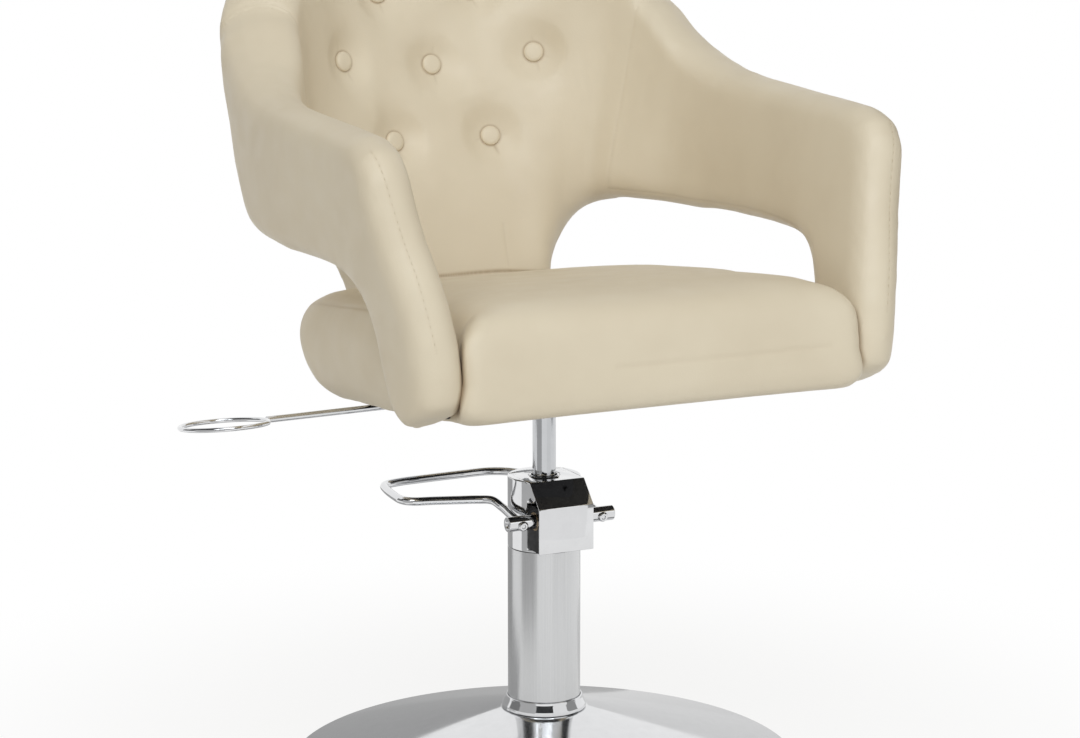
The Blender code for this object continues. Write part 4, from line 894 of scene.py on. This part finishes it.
# %% [markdown]
# ## Under the buttons
#
# Each button sits in a soft hollow. Close to its edge the cover dives under it, and a few short pleats run
# out from it, longest below, where the weight of the cover hangs. The hollow is blended from the button's
# own plane to the blown-up surface over three centimetres. Shade is painted in a dark ring round the button,
# faintly over the hollow, and along the pleats.

# %% Hollows and pleats
EDGE, RIM_TOP, HOLLOW, REACH, THROAT = 0.0105, -0.0042, 0.0385, 0.045, 0.008  # of a button and its hollow


def hollowed(bm, face, out, pleats):
    """Sink the cover to the button's edge, draw the pleats, and paint shade round the edge and in the pleats."""
    painted_shade = painted_shade_layer(bm)
    for vert in bm.verts:
        offset = vert.co - face
        height = offset.dot(out)
        flat = offset - out * height
        away = flat.length
        if away > REACH or abs(height) > 0.03:
            continue
        blend = ramp(away, EDGE, HOLLOW)
        blend = blend * blend * (3 - 2 * blend)
        seat = RIM_TOP + max(away - EDGE, 0.0) * 0.22
        vert.co += out * (seat - height) * (1 - blend)
        # painted shade: a dark ring just outside the button's edge and a faint darkening over the hollow
        vert[painted_shade] = max(vert[painted_shade], 0.55 * math.exp(-(max(away - 0.0112, 0) / 0.0018) ** 2),
                           0.05 * math.exp(-(away / 0.020) ** 2))
        for heading, length, depth in pleats:
            along, across = flat.dot(heading), (flat - heading * flat.dot(heading)).length
            if THROAT < along < length and across < 0.006:
                fade = math.sin(math.pi * min(1.0, (along - THROAT) / (length - THROAT) + 0.35))
                share = math.exp(-(across / 0.0018) ** 2) * max(fade, 0.0)
                vert.co -= out * depth * share
                # painted shade along the pleat, the deeper the darker
                vert[painted_shade] = max(vert[painted_shade], 0.5 * share * depth / 0.0012)
    bm.normal_update()
    return bm


dice = np.random.default_rng(7)
for i, (face, out) in buttons.items():
    down = (Vector((0, 0, -1)) - out * -out.z).normalized()
    pleats = [(Matrix.Rotation(math.radians(14 + dice.uniform(-10, 10)), 3, out) @ down, 0.036,
               0.0010 if i == 2 else 0.0004)]
    pleats += [(Matrix.Rotation(dice.uniform(0, math.tau), 3, out) @ down, dice.uniform(0.022, 0.034), 0.0003)
               for _ in range(3)]
    around = [face + Matrix.Rotation(math.tau * k / 24, 3, out) @ down * away
              for k in range(24) for away in (0.012, 0.02)]
    along = [face + pleats[0][0] * 0.0015 * k for k in range(26)]
    shell = refined(shell, [around, along], 0.0045)
    shell = hollowed(shell, face, out, pleats)
print("shell:", len(shell.verts), "points after the buttons")

# %% [markdown]
# ## The seat
#
# The seat is a thick crowned cushion between the posts. It is held all over its flat underside, where it
# sits on the board, and swells on top and at its sides. Its front corners are full, because they press
# against the posts. A faint crease runs across its front, where the cover is drawn over the foam's edge, and
# a seam along each side, both with a little shade painted into them.

# %% Blow the seat up
seat_solid = solid_copy("seat_cushion")
under = seat_slope.inverted()
seat = smoothed(even_net(solid_copy("seat_cushion"), 0.006), 20)
seat = finer(blown_up(seat, lambda p: (under @ p).z < 0.006, 0.0030, 0.006))
seat = filled_out(filled_out(seat, seat_solid, 0.95, 70), seat_solid, 0.8, 40)
seat = kept_close(seat, seat_solid, 0.0015)

# %% Fill the corners beside the posts
SEAT_HALF, FRONT = 0.2120, (-0.238, -0.272)  # room beside the posts, and from where to where they round off
for vert in seat.verts:
    place, wide = under @ vert.co, abs(vert.co.x)
    corner = ramp(wide, 0.12, 0.19) * ramp(place.y, -0.12, -0.21)
    low = ramp(place.z, 0.075, 0.015)
    ahead = ramp(vert.co.y, *FRONT)
    space = SEAT_HALF + 0.011 * ahead * ramp(place.z, 0.115, 0.090)
    reach = min(wide + 0.020 * corner * max(low, 0.6 * ahead), max(wide, space))
    vert.co.x = math.copysign(reach, vert.co.x)
    vert.co.y -= 0.003 * low * ramp(wide, 0.10, 0.18) * ramp(vert.co.y, -0.20, -0.24)
seat.normal_update()
print("seat reaches", round(max(v.co.x for v in seat.verts), 4), "m to the side")

# %% Seams of the seat
crease_line = dropped(drawn([(-60, -282, 500), (20, -286, 500), (100, -284, 500), (180, -276, 500)]), seat)
side_line = drawn([(213, 140, 509), (213, 77, 516), (213, 20, 522), (213, -60, 531), (212, -150, 540)])
side_lines = [dropped(line, seat) for line in (side_line, [mirrored(p) for p in side_line])]
seat = refined(seat, [crease_line] + side_lines, 0.008)
# the tint of each line is shade painted into its groove
seat = pressed(seat, [crease_line], 0.0030, 0.0006, 0.06)
seat = pressed(seat, side_lines, 0.0022, 0.0010, 0.16)
print("seat:", len(seat.verts), "points")
seat_solid.free()

# %% [markdown]
# ## Where covers touch
#
# No light gets into the narrow gaps between the seat, the posts and the back, so shade is painted there.
# Points of one cover that lie within a few millimetres of the other get painted shade, and at the foot of
# the back within two centimetres.

# %% Shade in the gaps
def shaded_beside(bm, other, reach, tint, behind=-1.0):
    """Raise the painted shade of points behind a given Y that lie close to the other cover."""
    tree = BVHTree.FromBMesh(other)
    painted_shade = painted_shade_layer(bm)
    count = 0
    for vert in bm.verts:
        away = tree.find_nearest(vert.co)[3]
        if away < reach and vert.co.y > behind:
            vert[painted_shade] = max(vert[painted_shade], tint * (1 - away / reach))
            count += 1
    print("  points in the gaps:", count)
    return bm


seat = shaded_beside(seat, shell, 0.007, 0.9)
shell = shaded_beside(shell, seat, 0.006, 0.9)
shell = shaded_beside(shell, seat, 0.020, 0.9, behind=0.15)
new_piece("seat_cover", seat, cream_leather, "seat", "upholstery", "seat_cushion", sharp=60)

# %% [markdown]
# ## Parting the shell
#
# Now the shell is cut at its two joints into the right arm, the back and the left arm. A bisecting plane
# cuts one side of the chair at a time, and the open end is filled, so that each piece is closed.

# %% Cut at the joints
def one_side_of(bm, spot, normal, side, keep_arm):
    """Cut the half on one side of the chair and keep the arm or the back."""
    part = [v for v in bm.verts if v.co.x * side > 0.02]
    chosen = set(part)
    geom = part + [e for e in bm.edges if all(v in chosen for v in e.verts)]
    geom += [f for f in bm.faces if all(v in chosen for v in f.verts)]
    cut = bmesh.ops.bisect_plane(bm, geom=geom, plane_co=spot, plane_no=normal, clear_outer=keep_arm,
                                 clear_inner=not keep_arm)["geom_cut"]
    if keep_arm:
        bmesh.ops.delete(bm, geom=[v for v in bm.verts if v.co.x * side < 0.1], context="VERTS")
    rim = [g for g in cut if isinstance(g, bmesh.types.BMEdge) and g.is_valid and g.is_boundary]
    bmesh.ops.holes_fill(bm, edges=rim, sides=0)
    bmesh.ops.recalc_face_normals(bm, faces=bm.faces)
    return bm


for name, half in halves.items():
    cover_bm = one_side_of(shell.copy(), *half, True)
    arm_cover = new_piece(f"arm_cover_{name}", cover_bm, cream_leather, "seat", "upholstery", f"arm_{name}",
                          sharp=50)
back_bm = shell.copy()
for half in halves.values():
    back_bm = one_side_of(back_bm, *half, False)
new_piece("back_cover", back_bm, cream_leather, "seat", "upholstery", "backrest", sharp=50)

# %% [markdown]
# ## Stitches on the posts
#
# Up the front of each post the seam is top-stitched. A stitch is a short grain of thread, four millimetres
# long. Each has only two dozen faces, and those of one arm make one piece. They lie in the groove, heading
# along it.

# %% Stitch helper and the arms' thread
def stitched(name, line, surface, pitch=0.0062, length=0.0042, radius=0.00036):
    """Lay grains of thread along a line on the surface."""
    tree = BVHTree.FromBMesh(surface)
    bm = bmesh.new()
    gone, count = 0.0, 0
    for first, second in zip(line, line[1:]):
        gone += (second - first).length
        if gone < pitch:
            continue
        gone = 0.0
        spot, normal, _, _ = tree.find_nearest(second)
        heading = (second - first).normalized()
        across = normal.cross(heading).normalized()
        turn = Matrix((heading, across, normal)).transposed().to_4x4()
        size = Matrix.Diagonal((length / 2, radius, radius, 1))
        bmesh.ops.create_uvsphere(bm, u_segments=6, v_segments=4, radius=1.0,
                                  matrix=Matrix.Translation(spot + normal * radius * 0.4) @ turn @ size)
        count += 1
    print(name, count, "stitches")
    new_piece(name, bm, waxed_thread, "seat", "upholstery", sharp=80)


stitched("arm_thread_left", rim_lines[0], shell)
stitched("arm_thread_right", rim_lines[1], shell)
for done in (shell, shell_form, shell_solid):
    done.free()

# %% [markdown]
# ## Finishes for the solids that stay
#
# Some solids are right as they are: the works inside the column, the plate and bolts under the seat, the
# brackets behind it. They keep their shape and get the finish that their slot in the record names.

# %% Dress the remaining solids
slot_finish = {"chrome": mirror_chrome, "satin_tube": satin_steel, "steel": plain_steel, "bush": bearing_bronze,
               "rubber": matt_rubber, "board": painted_board, "upholstery": cream_leather}
oiled = {"pump_cam", "pump_plunger", "inner_cylinder", "piston_head"}
blackened = {"pump_block", "seat_plate", "seat_hub", "arm_bolt_left", "arm_bolt_right"}
blackened |= {f"plate_bolt_{i}" for i in range(1, 5)}
for row in frame["record"]["subparts"]:
    solid = frame["nodes"][row["node"]]
    finish = slot_finish[row["material_slot"]]
    if row["node"] in oiled:
        finish = oiled_steel
    if row["node"] in blackened:
        finish = blackened_steel
    if not solid.material_slots:
        solid.data.materials.append(finish)
    for place in solid.material_slots:
        place.material = finish

# %% [markdown]
# ## Floor and background
#
# The photograph has a white ground. The world is white for the camera and for reflections and only mildly
# bright for the light that falls on the chair. The floor is pale near the base, where it takes the shadow,
# and fades to the same white further out, so that no horizon shows.

# %% World and floor
def seen_directly(tree):
    """1 for camera, glossy and transmission rays, 0 for the rest."""
    path = node(tree, "ShaderNodeLightPath").outputs
    shine = node(tree, "ShaderNodeMath", {0: path["Is Glossy Ray"], 1: path["Is Transmission Ray"]},
                 operation="MAXIMUM").outputs[0]
    return node(tree, "ShaderNodeMath", {0: path["Is Camera Ray"], 1: shine}, operation="MAXIMUM").outputs[0]


def bare_graph(owner):
    """The owner's graph of nodes, emptied."""
    owner.use_nodes = True
    owner.node_tree.nodes.clear()
    return owner.node_tree


scene.world = bpy.data.worlds.new("room")
tree = bare_graph(scene.world)
dim = node(tree, "ShaderNodeBackground", {"Color": (1, 0.94, 0.80, 1), "Strength": 0.40})
white = node(tree, "ShaderNodeBackground", {"Color": (1, 1, 1, 1), "Strength": 1.0})
both = node(tree, "ShaderNodeMixShader", {0: seen_directly(tree), 1: dim.outputs[0], 2: white.outputs[0]})
node(tree, "ShaderNodeOutputWorld", {"Surface": both.outputs[0]})

FLOOR_RADIUS = 30.0
floor_bm = bmesh.new()
bmesh.ops.create_circle(floor_bm, cap_ends=True, radius=FLOOR_RADIUS, segments=96)
bmesh.ops.translate(floor_bm, verts=floor_bm.verts, vec=(0, 0, -0.0004))
floor = linked("floor", floor_bm)
pale = bpy.data.materials.new("pale_floor")
tree = bare_graph(pale)
where = node(tree, "ShaderNodeTexCoord").outputs["Object"]
far = node(tree, "ShaderNodeVectorMath", {0: where}, operation="LENGTH").outputs["Value"]
fade = node(tree, "ShaderNodeMapRange", {"Value": far, "From Min": 0.26, "From Max": 0.95, "To Min": 0.84,
                                         "To Max": 1.0}, interpolation_type="SMOOTHSTEP").outputs["Result"]
share = node(tree, "ShaderNodeMath", {0: fade, 1: seen_directly(tree)}, operation="MULTIPLY").outputs[0]
matt = node(tree, "ShaderNodeBsdfDiffuse", {"Color": (0.88, 0.88, 0.88, 1)})
glow = node(tree, "ShaderNodeEmission", {"Color": (1, 1, 1, 1), "Strength": 1.0})
mixed = node(tree, "ShaderNodeMixShader", {0: share, 1: matt.outputs[0], 2: glow.outputs[0]})
node(tree, "ShaderNodeOutputMaterial", {"Surface": mixed.outputs[0]})
floor.data.materials.append(pale)
print("floor radius", FLOOR_RADIUS, "m")

# %% [markdown]
# ## Lamps and dark cards
#
# One wide soft lamp beside the camera gives the even frontal light of a catalogue picture. A weaker one
# fills from the other side. Chrome in a white room looks like paper, so studios hang dark cards where only
# the metal sees them. The cards here are seen by glossy rays alone: they shade nothing and no view shows
# them.

# %% Lamps
COOL_WHITE = (0.91, 0.955, 1.0)


def soft_lamp(name, place, aim, size, power):
    lamp = bpy.data.objects.new(name, bpy.data.lights.new(name, "AREA"))
    scene.collection.objects.link(lamp)
    lamp.data.shape, lamp.data.size, lamp.data.size_y, lamp.data.energy = "RECTANGLE", size[0], size[1], power
    lamp.data.color = COOL_WHITE
    lamp.location = place
    lamp.rotation_euler = (Vector(aim) - Vector(place)).to_track_quat("-Z", "Y").to_euler()


soft_lamp("front_lamp", (-2.2, -4.45, 4.0), (0, 0, 0.60), (5.2, 3.8), 212)
soft_lamp("side_lamp", (2.6, -3.6, 1.6), (0, 0, 0.55), (2.4, 2.4), 8)

# %% Dark cards for the chrome
def dark_card(name, place, aim, size, level):
    bm = bmesh.new()
    bmesh.ops.create_grid(bm, x_segments=1, y_segments=1, size=0.5)
    turn = (Vector(aim) - Vector(place)).to_track_quat("Z", "Y").to_matrix().to_4x4()
    card = linked(name, placed(bm, Matrix.Translation(place) @ turn @ Matrix.Diagonal((*size, 1, 1))))
    paint = bpy.data.materials.new(name)
    tree = bare_graph(paint)
    shade = node(tree, "ShaderNodeEmission", {"Color": (level, level, level, 1), "Strength": 1.0})
    node(tree, "ShaderNodeOutputMaterial", {"Surface": shade.outputs[0]})
    card.data.materials.append(paint)
    card.visible_camera = card.visible_diffuse = card.visible_transmission = False
    card.visible_shadow = card.visible_volume_scatter = False


cards = {"left": ((-1.73, 0.34, 0.60), (0, 0, 0.60), (2.4, 1.2), 0.22),
         "right": ((1.51, -0.91, 0.60), (0, 0, 0.60), (1.2, 1.2), 0.32),
         "tube_left": ((-0.57, -0.16, 0.27), (0, 0, 0.27), (0.56, 0.54), 0.48),
         "tube_right": ((0.216, -0.55, 0.27), (0, 0, 0.27), (0.45, 0.54), 0.92),
         "base_left": ((-0.07, 0.46, 0.115), (-0.07, 0, 0.115), (0.58, 0.23), 0.40),
         "base_right": ((0.49, 0.46, 0.115), (0.49, 0, 0.115), (0.54, 0.23), 0.74),
         "floor_left": ((-0.12, 0.30, 0.0005), (-0.12, 0.30, 1), (0.68, 0.36), 0.44),
         "floor_right": ((0.42, 0.30, 0.0005), (0.42, 0.30, 1), (0.40, 0.36), 0.70),
         "side_left": ((-0.58, 0.04, 0.67), (0, 0, 0.09), (0.5, 0.5), 0.03),
         "side_right": ((0.56, -0.20, 0.65), (0, 0, 0.09), (0.5, 0.5), 0.03),
         "front": ((-0.33, -0.72, 0.58), (0, 0, 0.10), (0.9, 0.5), 0.02)}
for name, (place, aim, size, level) in cards.items():
    dark_card(f"card_{name}", place, aim, size, level)
print("cards:", list(cards))
